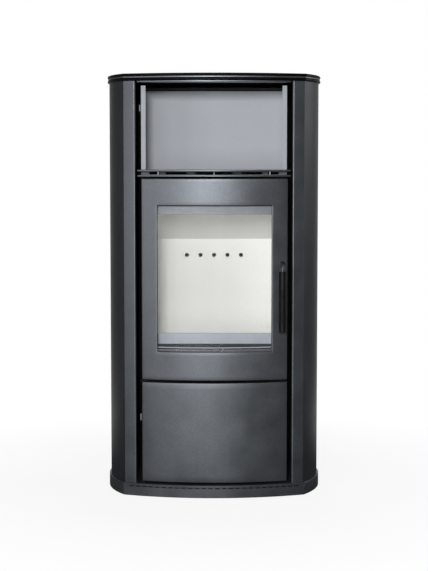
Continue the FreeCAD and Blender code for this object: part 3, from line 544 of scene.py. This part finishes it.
frame_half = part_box("front_frame")[1].x
frame_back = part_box("front_frame")[1].y


def shelf_plan(node):
    """Plan of a plate with the front's bow, a step in behind the columns, and a straight back."""
    low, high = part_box(node)
    nose = front_run(front_radius - panel_inset, low.x, high.x)
    rest = [[high.x, frame_back], [frame_half, frame_back], [frame_half, high.y], [-frame_half, high.y],
            [-frame_half, frame_back], [low.x, frame_back]]
    return np.vstack([nose, rest])


for node in ("upper_shelf", "lower_shelf"):
    low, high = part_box(node)
    shelf = upright(node + "_plate", shelf_plan(node), low.z, high.z, plate_edge)
    dress(shelf, grey_paint, "stove", "metallic_grey_paint", node)
# The grille strip's dark grey paint is painted shade under the upper shelf.
paint(shade_paint, "grille_strip")
worn_steel = plain_steel("heat_dulled_steel", "#777b80", "#8e9298", 0.60, 0.0015, 0.25)
paint(worn_steel, "grille_ribs")


# Warming niche
# Two folded walls with a narrow front flange and a back wall, in paler shades of the heat paint. The back
# wall's paint is lighter than the walls' as painted light, to offset the shade deep in the niche. Small
# steel lugs in the gap at the left are painted black and are light grey along their outer edge.

niche_paint = sprayed_paint("pale_grey_heat_paint", "#84888e", "#969aa0", 0.60, 0.1, 0.3)
# A lighter copy for the back wall: painted light against the shade deep in the niche.
niche_back_paint = sprayed_paint("pale_grey_back_paint", "#999da3", "#abafb5", 0.60, 0.1, 0.3)
paint(niche_paint, "niche_left_wall", "niche_right_wall")
paint(niche_back_paint, "niche_back")


lug_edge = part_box("stop_lugs")[0].x
lug_light_band = 0.003
lug_ragged = 0.0006


def light_edged_lug():
    """Black heat paint that turns light grey along the outer 3 mm, with a ragged edge."""
    edge_noise_size = 0.002
    material = finish_of("black_paint_light_outer_edge")
    place = add(material, "ShaderNodeTexCoord").outputs["Object"]
    across = add(material, "ShaderNodeSeparateXYZ", {0: place}).outputs["X"]
    edge_noise = add(material, "ShaderNodeTexNoise", {
        "Vector": place, "Scale": 1 / edge_noise_size, "Detail": 3.0})
    ragged = add(material, "ShaderNodeMath", {0: edge_noise.outputs["Fac"], 1: lug_ragged, 2: across},
                 operation="MULTIPLY_ADD")
    light_share = add(material, "ShaderNodeMapRange", {
        "Value": ragged.outputs[0], "From Min": lug_edge + lug_light_band,
        "From Max": lug_edge + lug_light_band + lug_ragged, "To Min": 1.0, "To Max": 0.0})
    colour = add(material, "ShaderNodeMix", {
        "Factor": light_share.outputs[0], "A": srgb("#17181a"), "B": srgb("#66696e")}, data_type="RGBA")
    shader = add(material, "ShaderNodeBsdfPrincipled", {
        "Base Color": colour.outputs["Result"], "Roughness": 0.55, "Specular IOR Level": 0.2})
    add(material, "ShaderNodeOutputMaterial", {"Surface": shader.outputs[0]})
    return material


paint(light_edged_lug(), "stop_lugs")


# Top
# Two black enamelled plates with a full round bead, matt on top and with only a base coat underneath, and a
# grey plate set in a little between them. A thin bowed strip under them closes the top of the niche.

spacer_inset = 0.0016
bottom_face = -2
top_face = -1
bead_black = sprayed_paint("black_enamel", "#050506", "#0c0c0d", 0.40, 0.0, 0.05)
plate_black = sprayed_paint("matt_black_enamel", "#1d1e20", "#292a2d", 0.60, 0.0, 0.25)
underside_black = sprayed_paint("unglazed_black_base_coat", "#0c0c0d", "#141415", 0.90, 0.0, 0.0)


def beaded_plate(name, z0, z1):
    """The stove's plan drawn in by a half circle from the plate's bottom to its top. The last two faces are
    the flat bottom and the flat top."""
    radius = (z1 - z0) / 2
    swing = np.linspace(-math.pi / 2, math.pi / 2, 13)
    rings = []
    for angle in swing:
        plan = outline(radius * (1 - math.cos(angle)))
        height = np.full(len(plan), z0 + radius * (1 + math.sin(angle)))
        rings.append(np.column_stack([plan, height]))
    count = len(rings[0])
    here = np.arange(count)
    ends = [here[::-1].tolist(), (here + count * (len(swing) - 1)).tolist()]
    faces = grid_faces(len(swing), count, False, True).tolist() + ends
    return piece(name, np.vstack(rings), faces)


for node, face, finish in (("top_plate_lower", bottom_face, underside_black),
                           ("top_plate_upper", top_face, plate_black)):
    low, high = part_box(node)
    plate = beaded_plate(node + "_bead", low.z, high.z)
    dress(plate, bead_black, "stove", "black_stove_paint", node)
    plate.data.materials.append(finish)
    plate.data.polygons[face].material_index = 1
low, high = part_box("top_spacer")
spacer = upright("top_spacer_plate", outline(spacer_inset), low.z, high.z)
dress(spacer, grey_paint, "stove", "metallic_grey_paint", "top_spacer")
low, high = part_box("niche_lintel")
lintel_nose = front_run(front_radius - panel_inset, low.x, high.x)
lintel_plan = np.vstack([lintel_nose, [[high.x, high.y], [low.x, high.y]]])
lintel = upright("niche_lintel_strip", lintel_plan, low.z, high.z)
dress(lintel, grey_paint, "stove", "metallic_grey_paint", "niche_lintel")


# Combustion air control
# A ported steel slide on the log store's ceiling, painted black, meters the air. A turned knob with a black
# powder coat, on its rod behind the lower door, moves it.

paint(black_paint, "air_slide")
black_grip = sprayed_paint("black_powder_coat", "#070708", "#101011", 0.38, 0.0, 0.13)
knob_low, knob_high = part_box("air_knob")
knob_radius = (knob_high.x - knob_low.x) / 2
knob_round = 0.003
knob_bore = 0.0041
knob_cap = 0.005
knob_swing = np.linspace(0, math.pi / 2, 7)
knob_nose = np.column_stack([knob_radius - knob_round + knob_round * np.sin(knob_swing),
                             knob_low.y + knob_round - knob_round * np.cos(knob_swing)])
knob_back = [[knob_radius, knob_high.y], [knob_bore, knob_high.y]]
knob_inside = [[knob_bore, knob_low.y + knob_cap], [0.0, knob_low.y + knob_cap]]
knob_outline = np.vstack([[[0.0, knob_low.y]], knob_nose, knob_back, knob_inside])
knob_centre = ((knob_low.x + knob_high.x) / 2, (knob_low.z + knob_high.z) / 2)
knob = turned("air_control_knob", knob_outline, knob_centre)
dress(knob, black_grip, "air_slide", "black_grip", "air_knob")


# Lower door
# The log store's door is a bowed pressing in grey heat paint, folded back all round and open behind, with a
# small round along its front edges. Blocks in its left corners turn on the hinge pins. It has no handle:
# it is pushed, and a magnet holds it by a steel strike inside.

door_setback = 0.009
door_radius = front_radius - door_setback
door_round = 0.0016
door_skin = 0.005
door_wall = 0.004
hinge_block = 0.012


def rectangle(low, high, inset, columns=40, rows=40):
    """Points round an upright rectangle drawn in by inset, as x and z: bottom, right, top and left side."""
    x0, x1 = low[0] + inset, high[0] - inset
    z0, z1 = low[1] + inset, high[1] - inset
    across = np.linspace(0, 1, columns, endpoint=False)
    along = np.linspace(0, 1, rows, endpoint=False)
    bottom = np.column_stack([x0 + (x1 - x0) * across, np.full(columns, z0)])
    right = np.column_stack([np.full(rows, x1), z0 + (z1 - z0) * along])
    top = np.column_stack([x1 - (x1 - x0) * across, np.full(columns, z1)])
    left = np.column_stack([np.full(rows, x0), z1 - (z1 - z0) * along])
    return np.vstack([bottom, right, top, left])


def bowed(points, depth):
    """Lays x and z points on the doors' bow, a given depth behind its outer face."""
    y = front_centre - np.sqrt(door_radius ** 2 - points[:, 0] ** 2) + depth
    return np.column_stack([points[:, 0], y, points[:, 1]])


def pressing(name, node, hole, hole_round):
    """A bowed tray: rings of points run from the back rim over the side wall and round the front edge,
    across the face to the hole's edge, through it, and back inside the skin and the wall to the rim. With
    no hole_round the hole is a small rectangle that a flat face closes on both sides of the skin."""
    low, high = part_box(node)
    outer_low, outer_high = (low.x, low.z), (high.x, high.z)
    swing = np.linspace(0, math.pi / 2, 6)
    flat_rim = rectangle(outer_low, outer_high, 0)
    outer = rectangle(outer_low, outer_high, door_round)
    inner = rectangle(*hole, -hole_round)
    hole_edge = rectangle(*hole, 0)
    wall_edge = rectangle(outer_low, outer_high, door_wall)
    rims = [np.column_stack([flat_rim[:, 0], np.full(len(flat_rim), high.y), flat_rim[:, 1]])]
    for angle in swing:
        edge = rectangle(outer_low, outer_high, door_round * (1 - math.cos(angle)))
        rims.append(bowed(edge, door_round * (1 - math.sin(angle))))
    for share in np.linspace(0, 1, 9)[1:-1]:
        rims.append(bowed(outer + (inner - outer) * share, 0))
    for angle in swing[::-1] if hole_round else swing[-1:]:
        edge = rectangle(*hole, -hole_round * (1 - math.cos(angle)))
        rims.append(bowed(edge, hole_round * (1 - math.sin(angle))))
    front_end = len(rims)
    rims.append(bowed(hole_edge, door_skin))
    for share in np.linspace(0, 1, 5)[1:]:
        rims.append(bowed(hole_edge + (wall_edge - hole_edge) * share, door_skin))
    rims.append(np.column_stack([wall_edge[:, 0], np.full(len(wall_edge), high.y), wall_edge[:, 1]]))
    count = len(flat_rim)
    faces = grid_faces(len(rims), count, True, True)
    if not hole_round:
        row = np.arange(len(faces)) // count
        here = np.arange(count)
        faces = faces[row != front_end - 1].tolist()
        faces += [(here + count * (front_end - 1)).tolist(), (here + count * front_end)[::-1].tolist()]
        return piece(name, np.vstack(rims), faces)
    return piece(name, np.vstack(rims), faces.tolist())


def hinge_blocks(name, node, body):
    """Two blocks in the door's left corners between its skin, walls and back. The plan follows the bow."""
    low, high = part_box(node)
    x = np.array([low.x + door_wall, low.x + door_wall + hinge_block])
    front = front_centre - np.sqrt(door_radius ** 2 - x ** 2) + door_skin
    plan = np.array([[x[0], front[0]], [x[1], front[1]], [x[1], high.y], [x[0], high.y]])
    for place, z in (("top", high.z - door_wall - hinge_block), ("bottom", low.z + door_wall)):
        block = upright(name + "_hinge_block_" + place, plan, z, z + hinge_block)
        dress(block, grey_paint, body, "metallic_grey_paint")


low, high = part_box("lower_door_panel")
middle = ((low.x + high.x) / 2, (low.z + high.z) / 2)
patch_half = 0.002
patch = ((middle[0] - patch_half, middle[1] - patch_half), (middle[0] + patch_half, middle[1] + patch_half))
lower_panel = pressing("lower_door_pressing", "lower_door_panel", patch, 0)
dress(lower_panel, grey_paint, "lower_door", "metallic_grey_paint", "lower_door_panel")
hinge_blocks("lower_door", "lower_door_panel", "lower_door")
paint(bright_steel, "catch_strike")
paint(black_paint, "catch_magnet", "hinge_pins")


# Fire door
# A pressing of the same kind with a large window. Behind it are a thin gasket, the curved glass, retaining
# strips of heat-worn steel, and a flat black backing plate with a rope seal that closes on the front frame.
# On the bottom strip, the pale lip is a painted highlight along its top edge, the black web in the groove
# under the lip is painted shade, and the band below is a darker steel.

low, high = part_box("fire_door_panel")
stile = 0.044
bottom_rail = 0.0795
top_rail = 0.0743
window = ((low.x + stile, low.z + bottom_rail), (high.x - stile, high.z - top_rail))
window_round = 0.0034
fire_panel = pressing("fire_door_pressing", "fire_door_panel", window, window_round)
dress(fire_panel, grey_paint, "fire_door", "metallic_grey_paint", "fire_door_panel")
hinge_blocks("fire_door", "fire_door_panel", "fire_door")


def curved_sheet(radius, sheet, x0, x1):
    """Plan of a sheet bent to the doors' bow: the outer line one way and the inner line back."""
    return np.vstack([front_run(radius, x0, x1), front_run(radius - sheet, x1, x0)])


def stove_glass():
    """Clear glass ceramic: nearly all light goes straight through, and its face shows a faint gloss."""
    haze_size = 0.080
    material = finish_of("glass_ceramic")
    place = add(material, "ShaderNodeTexCoord").outputs["Object"]
    haze = add(material, "ShaderNodeTexNoise", {"Vector": place, "Scale": 1 / haze_size, "Detail": 3.0})
    gloss = add(material, "ShaderNodeMapRange", {
        "Value": haze.outputs["Fac"], "To Min": 0.03, "To Max": 0.09})
    shader = add(material, "ShaderNodeBsdfPrincipled", {
        "Base Color": srgb("#303434"), "Roughness": gloss.outputs[0], "Alpha": 0.06,
        "Specular IOR Level": 0.5})
    add(material, "ShaderNodeOutputMaterial", {"Surface": shader.outputs[0]})
    return material


glass_setback = 0.007
glass_sheet = 0.004
glass_radius = door_radius - glass_setback
low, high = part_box("door_glass")
glass_plan = curved_sheet(glass_radius, glass_sheet, low.x, high.x)
glass = upright("window_glass", glass_plan, low.z, high.z, fine_edge)
dress(glass, stove_glass(), "fire_door", "stove_glass", "door_glass")

retainer_setback = 0.0043
retainer_sheet = 0.0025
bottom_height = 0.0115
top_height = 0.0229
retainer_radius = glass_radius - retainer_setback
low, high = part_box("glass_retainers")
retainer_plan = curved_sheet(retainer_radius, retainer_sheet, low.x, high.x)
bottom_edge = window[0][1] + bottom_height
top_edge = window[1][1] - top_height
dark_band_steel = plain_steel("dark_retainer_steel", "#4b4f55", "#646970", 0.5, 0.0015, 0.3)
groove_depth = 0.0013
groove_height = 0.0022
lip_height = 0.0032
lip_round = 0.0011
web_drop = 0.0005
web_plan = curved_sheet(retainer_radius - groove_depth, retainer_sheet - groove_depth, low.x, high.x)
# The web is black: painted shade in the groove between the lip and the band.
strip = upright("glass_retainer_bottom", web_plan, low.z, bottom_edge - web_drop)
dress(strip, black_paint, "fire_door", "heat_worn_steel", "glass_retainers")
# The lip's paler steel is a painted highlight along the strip's top edge.
lip = upright("glass_retainer_lip", retainer_plan, bottom_edge - lip_height, bottom_edge, lip_round)
dress(lip, bleached_steel_and_highlight, "fire_door", "heat_worn_steel")
band_top = bottom_edge - lip_height - groove_height
band = upright("glass_retainer_band", retainer_plan, low.z, band_top)
dress(band, dark_band_steel, "fire_door", "heat_worn_steel")
strip = upright("glass_retainer_top", retainer_plan, top_edge, high.z)
dress(strip, worn_steel, "fire_door", "heat_worn_steel")
low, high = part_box("glass_side_clips")
clip_gap = 0.0025
for place, x0, x1, nodes in (("left", low.x, window[0][0] - clip_gap, ["glass_side_clips"]),
                             ("right", window[1][0] + clip_gap, high.x, [])):
    clip_plan = curved_sheet(retainer_radius, retainer_sheet, x0, x1)
    clip = upright("glass_side_clip_" + place, clip_plan, low.z, high.z)
    dress(clip, black_paint, "fire_door", "black_stove_paint", *nodes)
paint(black_paint, "door_backing")


def glass_fibre():
    """Knitted glass fibre in grey: small loops, 2.5 mm apart, give it a fine grain and a soft matt face."""
    loop_size = 0.0025
    loop_depth = 0.0008
    fuzz_size = 0.0008
    material = finish_of("knitted_glass_fibre")
    place = add(material, "ShaderNodeTexCoord").outputs["Object"]
    loops = add(material, "ShaderNodeTexVoronoi", {"Vector": place, "Scale": 1 / loop_size})
    fuzz = add(material, "ShaderNodeTexNoise", {"Vector": place, "Scale": 1 / fuzz_size, "Detail": 2.0})
    colour = add(material, "ShaderNodeMix", {
        "Factor": loops.outputs["Distance"], "A": srgb("#8b8a86"), "B": srgb("#55544f")},
        data_type="RGBA")
    height = add(material, "ShaderNodeMath", {0: loops.outputs["Distance"], 1: fuzz.outputs["Fac"]},
                 operation="ADD")
    bump = add(material, "ShaderNodeBump", {
        "Height": height.outputs[0], "Strength": 0.5, "Distance": loop_depth})
    shader = add(material, "ShaderNodeBsdfPrincipled", {
        "Base Color": colour.outputs["Result"], "Roughness": 0.95, "Specular IOR Level": 0.1,
        "Sheen Weight": 0.3, "Normal": bump.outputs[0]})
    add(material, "ShaderNodeOutputMaterial", {"Surface": shader.outputs[0]})
    return material


fibre = glass_fibre()
paint(fibre, "glass_gasket")

seal_width = 0.010
seal_corner = 0.014
braid_pitch = 0.008
braid_depth = 0.0005
braid_samples = 6
strand_count = 4
seal_around = 20


def rope_seal():
    """A flattened circle carried round an upright rectangle with round corners. Its surface rises where
    either of two sets of strands, which wind in opposite directions, comes to the top."""
    low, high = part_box("door_seal")
    half = seal_width / 2
    arc = np.linspace(0, math.pi / 2, 12)
    inner_x = high.x - half - seal_corner
    inner_z = (high.z - low.z) / 2 - half - seal_corner
    runs = []
    for quarter, (sx, sz) in enumerate(((1, -1), (1, 1), (-1, 1), (-1, -1))):
        turn = arc + (quarter - 1) * math.pi / 2
        runs.append(np.column_stack([sx * inner_x + seal_corner * np.cos(turn),
                                     sz * inner_z + seal_corner * np.sin(turn)]))
    line = np.vstack(runs + [runs[0][:1]])
    length = np.concatenate([[0], np.cumsum(np.hypot(*np.diff(line, axis=0).T))])
    repeats = round(length[-1] / braid_pitch)
    along = np.linspace(0, length[-1], repeats * braid_samples, endpoint=False)
    x = np.interp(along, length, line[:, 0])
    z = np.interp(along, length, line[:, 1])
    ahead = np.column_stack([np.roll(x, -1) - np.roll(x, 1), np.roll(z, -1) - np.roll(z, 1)])
    ahead /= np.linalg.norm(ahead, axis=1)[:, None]
    turn = np.linspace(0, 2 * math.pi, seal_around, endpoint=False)[None, :]
    phase = (2 * math.pi * repeats * along / length[-1])[:, None]
    strands = np.maximum(np.cos(phase + strand_count * turn), np.cos(phase - strand_count * turn))
    lift = braid_depth * (strands - 1)
    sideways = (half + lift) * np.cos(turn)
    depth = (high.y - low.y) / 2
    points = np.stack([x[:, None] + ahead[:, 1:] * sideways,
                       (low.y + high.y) / 2 + (depth + lift) * np.sin(turn) * np.ones_like(phase),
                       (low.z + high.z) / 2 + z[:, None] - ahead[:, :1] * sideways], -1)
    faces = grid_faces(len(along), seal_around, True, True)
    return piece("door_rope_seal", points.reshape(-1, 3), faces.tolist())


dress(rope_seal(), fibre, "fire_door", "glass_fibre", "door_seal")

backing_low, backing_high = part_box("door_backing")
backing_edge = 0.007
backing_drop = 0.045
backing_rows = 4
backing_x = (backing_low.x + backing_edge, backing_high.x - backing_edge)
backing_z = np.linspace(backing_low.z + backing_drop, backing_high.z - backing_drop, backing_rows)
backing_screws = np.array([[x, backing_high.y, z] for x in backing_x for z in backing_z])
screw_heads("door_backing_screws", backing_screws, 1, "fire_door")


# Latch
# An oiled steel rod turns in a bush near the door's right edge; the bush is painted black as painted shade
# round the top of the rod's bend. Outside, the rod bends down into a round grip with a black coat and rows
# of small holes. Behind the frame, a cam on it meets the keeper's roller.

rod_radius = 0.0053
rod_bend = 0.012
rod_around = 32
grip_low, grip_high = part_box("handle_grip")
rod_low, rod_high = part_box("latch_rod")
handle_x = (grip_low.x + grip_high.x) / 2
grip_y = (grip_low.y + grip_high.y) / 2
grip_radius = (grip_high.x - grip_low.x) / 2
handle_z = rod_high.z - rod_radius


def latch_rod_tube():
    """A circle carried along the rod's line: level out of the door, a quarter bend, and straight down."""
    turn = np.linspace(0, math.pi / 2, 13)
    bend_y = grip_y + rod_bend - rod_bend * np.sin(turn)
    bend_z = handle_z - rod_bend + rod_bend * np.cos(turn)
    y = np.concatenate([[rod_high.y], bend_y, [grip_y]])
    z = np.concatenate([[handle_z], bend_z, [rod_low.z]])
    lean = np.concatenate([[0], turn, [math.pi / 2]])
    around = np.linspace(0, 2 * math.pi, rod_around, endpoint=False)[None, :]
    reach = rod_radius * np.sin(around)
    points = np.stack([np.repeat(handle_x + rod_radius * np.cos(around), len(y), 0),
                       y[:, None] - reach * np.sin(lean)[:, None],
                       z[:, None] + reach * np.cos(lean)[:, None]], -1)
    faces = grid_faces(len(y), rod_around, False, True).tolist()
    here = np.arange(rod_around)
    ends = [here[::-1].tolist(), (here + rod_around * (len(y) - 1)).tolist()]
    return piece("latch_rod_bar", points.reshape(-1, 3), faces + ends)


rod_steel = plain_steel("oiled_steel_rod", "#484b4f", "#5a5d62", 0.60, 0.0006, 1.0)
dress(latch_rod_tube(), rod_steel, "latch", "bright_steel", "latch_rod")

hole_pitch = 0.0052
hole_radius = 0.0014
hole_depth = 0.0016
hole_bevel = 0.0004
hole_columns = 12
points_around = 12
points_along = 11
perforated_start = 0.022
perforated_end = 0.117
perforated_low = grip_low.z + perforated_start
perforated_high = grip_low.z + perforated_end
grip_round = 0.0015


def perforated_grip():
    """A bar with rounded ends whose radius dips by the hole's depth inside each circle of a square pattern
    of holes, on a grid that is fine enough to draw each hole."""
    columns = hole_columns * points_around
    swing = np.linspace(0, math.pi / 2, 5)
    body = np.arange(grip_low.z + grip_round, grip_high.z - grip_round, hole_pitch / points_along)
    height = np.concatenate([[grip_low.z], grip_low.z + grip_round * (1 - np.cos(swing[1:-1])), body,
                             grip_high.z - grip_round + grip_round * np.sin(swing[1:])])
    inset = np.concatenate([[grip_round], grip_round * (1 - np.sin(swing[1:-1])), np.zeros(len(body)),
                            grip_round * (1 - np.cos(swing[1:]))])
    around = np.linspace(0, 2 * math.pi, columns, endpoint=False)
    span = 2 * math.pi / hole_columns
    sideways = ((around / span + 0.5) % 1 - 0.5) * span * grip_radius
    rows = int((perforated_high - perforated_low) / hole_pitch)
    index = np.clip(np.round((height - perforated_low) / hole_pitch), 0, rows)
    upward = height - perforated_low - index * hole_pitch
    off = np.hypot(sideways[None, :], upward[:, None])
    dip = hole_depth * np.clip((hole_radius - off) / hole_bevel + 0.5, 0, 1)
    radius = grip_radius - inset[:, None] - dip
    points = np.stack([handle_x + radius * np.cos(around), grip_y + radius * np.sin(around),
                       np.repeat(height[:, None], columns, 1)], -1)
    here = np.arange(columns)
    ends = [here[::-1].tolist(), (here + columns * (len(height) - 1)).tolist()]
    faces = grid_faces(len(height), columns, False, True).tolist() + ends
    return piece("handle_grip_tube", points.reshape(-1, 3), faces)


dress(perforated_grip(), black_grip, "latch", "black_grip", "handle_grip")

bush_low, bush_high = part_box("latch_bush")
bush_radius = (bush_high.x - bush_low.x) / 2
bush_bore = 0.00535
bush_edge = 0.0008
bush_outline = np.array([
    [bush_bore, bush_high.y], [bush_bore, bush_low.y + bush_edge], [bush_bore + bush_edge, bush_low.y],
    [bush_radius - bush_edge, bush_low.y], [bush_radius, bush_low.y + bush_edge],
    [bush_radius, bush_high.y]])
# The bush is painted black as painted shade round the top of the rod's bend.
bush = turned("latch_bush_ring", bush_outline, (handle_x, handle_z))
dress(bush, black_paint, "fire_door", "black_stove_paint", "latch_bush")
paint(bright_steel, "latch_cam", "latch_nut", "latch_keeper", "keeper_roller")


# Studio
# A pale floor that fades into a white background, a broad low light and a compact key light in front, softer
# lights at both sides, overhead and behind, and a camera where the photograph's was.

dark_room = 0.045


def studio_floor():
    """White ground that takes a soft shadow: most of its brightness doesn't depend on the lamps. Reflections
    see it dim in front of the stove, as in a dark room, and white behind."""
    dim_until = 0.3
    white_from = 1.2
    shadow_until = 0.5
    shadow_end = 1.2
    shadow_glow = 0.85
    material = finish_of("studio_floor")
    path = add(material, "ShaderNodeLightPath")
    place = add(material, "ShaderNodeTexCoord").outputs["Object"]
    across = add(material, "ShaderNodeSeparateXYZ", {0: place})
    room = add(material, "ShaderNodeMapRange", {
        "Value": across.outputs["Y"], "From Min": dim_until, "From Max": white_from, "To Min": dark_room})
    away = add(material, "ShaderNodeVectorMath", {0: place}, operation="LENGTH")
    white_share = add(material, "ShaderNodeMapRange", {
        "Value": away.outputs["Value"], "From Min": shadow_until, "From Max": shadow_end,
        "To Min": shadow_glow})
    seen = add(material, "ShaderNodeMath", {0: path.outputs["Is Camera Ray"], 1: white_share.outputs[0]},
               operation="MULTIPLY")
    mirrored = add(material, "ShaderNodeMath", {0: seen.outputs[0], 1: path.outputs["Is Glossy Ray"]},
                   operation="MAXIMUM")
    share = add(material, "ShaderNodeMath", {0: mirrored.outputs[0], 1: path.outputs["Is Transmission Ray"]},
                operation="MAXIMUM")
    glow = add(material, "ShaderNodeMix", {
        "Factor": path.outputs["Is Glossy Ray"], "A": 1.0, "B": room.outputs[0]})
    lit = add(material, "ShaderNodeBsdfDiffuse", {"Color": srgb("#f4f4f4")})
    white = add(material, "ShaderNodeEmission", {
        "Color": srgb("#ffffff"), "Strength": glow.outputs["Result"]})
    mixed = add(material, "ShaderNodeMixShader", {
        0: share.outputs[0], 1: lit.outputs[0], 2: white.outputs[0]})
    add(material, "ShaderNodeOutputMaterial", {"Surface": mixed.outputs[0]})
    return material


floor_radius = 1.6
floor_points = 96
floor_turn = np.linspace(0, 2 * math.pi, floor_points, endpoint=False)
floor_rim = np.column_stack([floor_radius * np.cos(floor_turn), floor_radius * np.sin(floor_turn),
                             np.zeros(floor_points)])
floor = piece("studio_floor", floor_rim, [list(range(len(floor_rim)))])
floor.data.materials.append(studio_floor())

# The camera, and light that comes through the glass, see the background white. Reflections see it white
# straight behind the stove and dim elsewhere, as in a dark room.
world = bpy.data.worlds.new("studio")
world.use_nodes = True
world.node_tree.nodes.clear()
path = add(world, "ShaderNodeLightPath")
facing = add(world, "ShaderNodeVectorMath", {0: add(world, "ShaderNodeTexCoord").outputs["Generated"],
                                             1: (0.0, 1.0, 0.0)}, operation="DOT_PRODUCT")
room = add(world, "ShaderNodeMapRange", {
    "Value": facing.outputs["Value"], "From Min": 0.85, "From Max": 1.0, "To Min": dark_room})
mirrored = add(world, "ShaderNodeMath", {0: path.outputs["Is Glossy Ray"], 1: room.outputs[0]},
               operation="MULTIPLY")
seen = add(world, "ShaderNodeMath", {0: path.outputs["Is Camera Ray"], 1: mirrored.outputs[0]},
           operation="MAXIMUM")
shown = add(world, "ShaderNodeMath", {0: seen.outputs[0], 1: path.outputs["Is Transmission Ray"]},
            operation="MAXIMUM")
dim = add(world, "ShaderNodeBackground", {"Color": srgb("#ffffff"), "Strength": 0.12})
white = add(world, "ShaderNodeBackground", {"Color": srgb("#ffffff"), "Strength": 1.0})
mixed = add(world, "ShaderNodeMixShader", {0: shown.outputs[0], 1: dim.outputs[0], 2: white.outputs[0]})
add(world, "ShaderNodeOutputWorld", {"Surface": mixed.outputs[0]})
bpy.context.scene.world = world


def softbox(name, place, aim, width, height, power):
    """A rectangular soft light at place, turned towards aim."""
    lamp = bpy.data.lights.new(name, "AREA")
    lamp.shape = "RECTANGLE"
    lamp.size = width
    lamp.size_y = height
    lamp.energy = power
    holder = bpy.data.objects.new(name, lamp)
    bpy.context.scene.collection.objects.link(holder)
    holder.location = place
    toward = np.array(aim) - np.array(place)
    holder.rotation_euler = (math.atan2(math.hypot(toward[0], toward[1]), -toward[2]), 0,
                             math.atan2(toward[1], toward[0]) - math.pi / 2)


softbox("front_light", (-0.65, -5.0, 0.45), (0, 0, 0.6), 2.2, 1.6, 66)
softbox("key_light", (-0.25, -5.0, 1.70), (0, 0, 0.8), 0.60, 0.50, 146)
softbox("left_light", (-2.4, -3.3, 1.0), (0, 0, 0.7), 1.2, 1.8, 30)
softbox("right_light", (3.0, 1.5, 1.9), (0, 0, 0.8), 1.2, 1.8, 19)
softbox("left_fill", (-3.6, 0.0, 1.0), (0, 0, 0.7), 1.2, 1.8, 13)
softbox("right_fill", (3.6, 0.0, 1.0), (0, 0, 0.7), 1.2, 1.8, 20)
softbox("top_light", (0.0, -2.2, 3.3), (0, 0, 0.9), 2.4, 1.4, 22)
softbox("back_light", (0.0, 3.2, 3.4), (0, 0, 0.6), 2.0, 1.6, 45)

camera_data = bpy.data.cameras.new("camera")
camera_data.lens = 92.55
camera_data.sensor_width = 36.0
camera_data.sensor_fit = "AUTO"
camera_data.clip_end = 100.0
camera = bpy.data.objects.new("camera", camera_data)
bpy.context.scene.collection.objects.link(camera)
camera_distance = 3.9715
camera_height = 0.9097
camera_pitch = 4.654
camera.location = (0.0, apex - camera_distance, camera_height)
camera.rotation_euler = (math.radians(90 - camera_pitch), 0, 0)
bpy.context.scene.camera = camera
bpy.context.scene.view_settings.view_transform = "Standard"
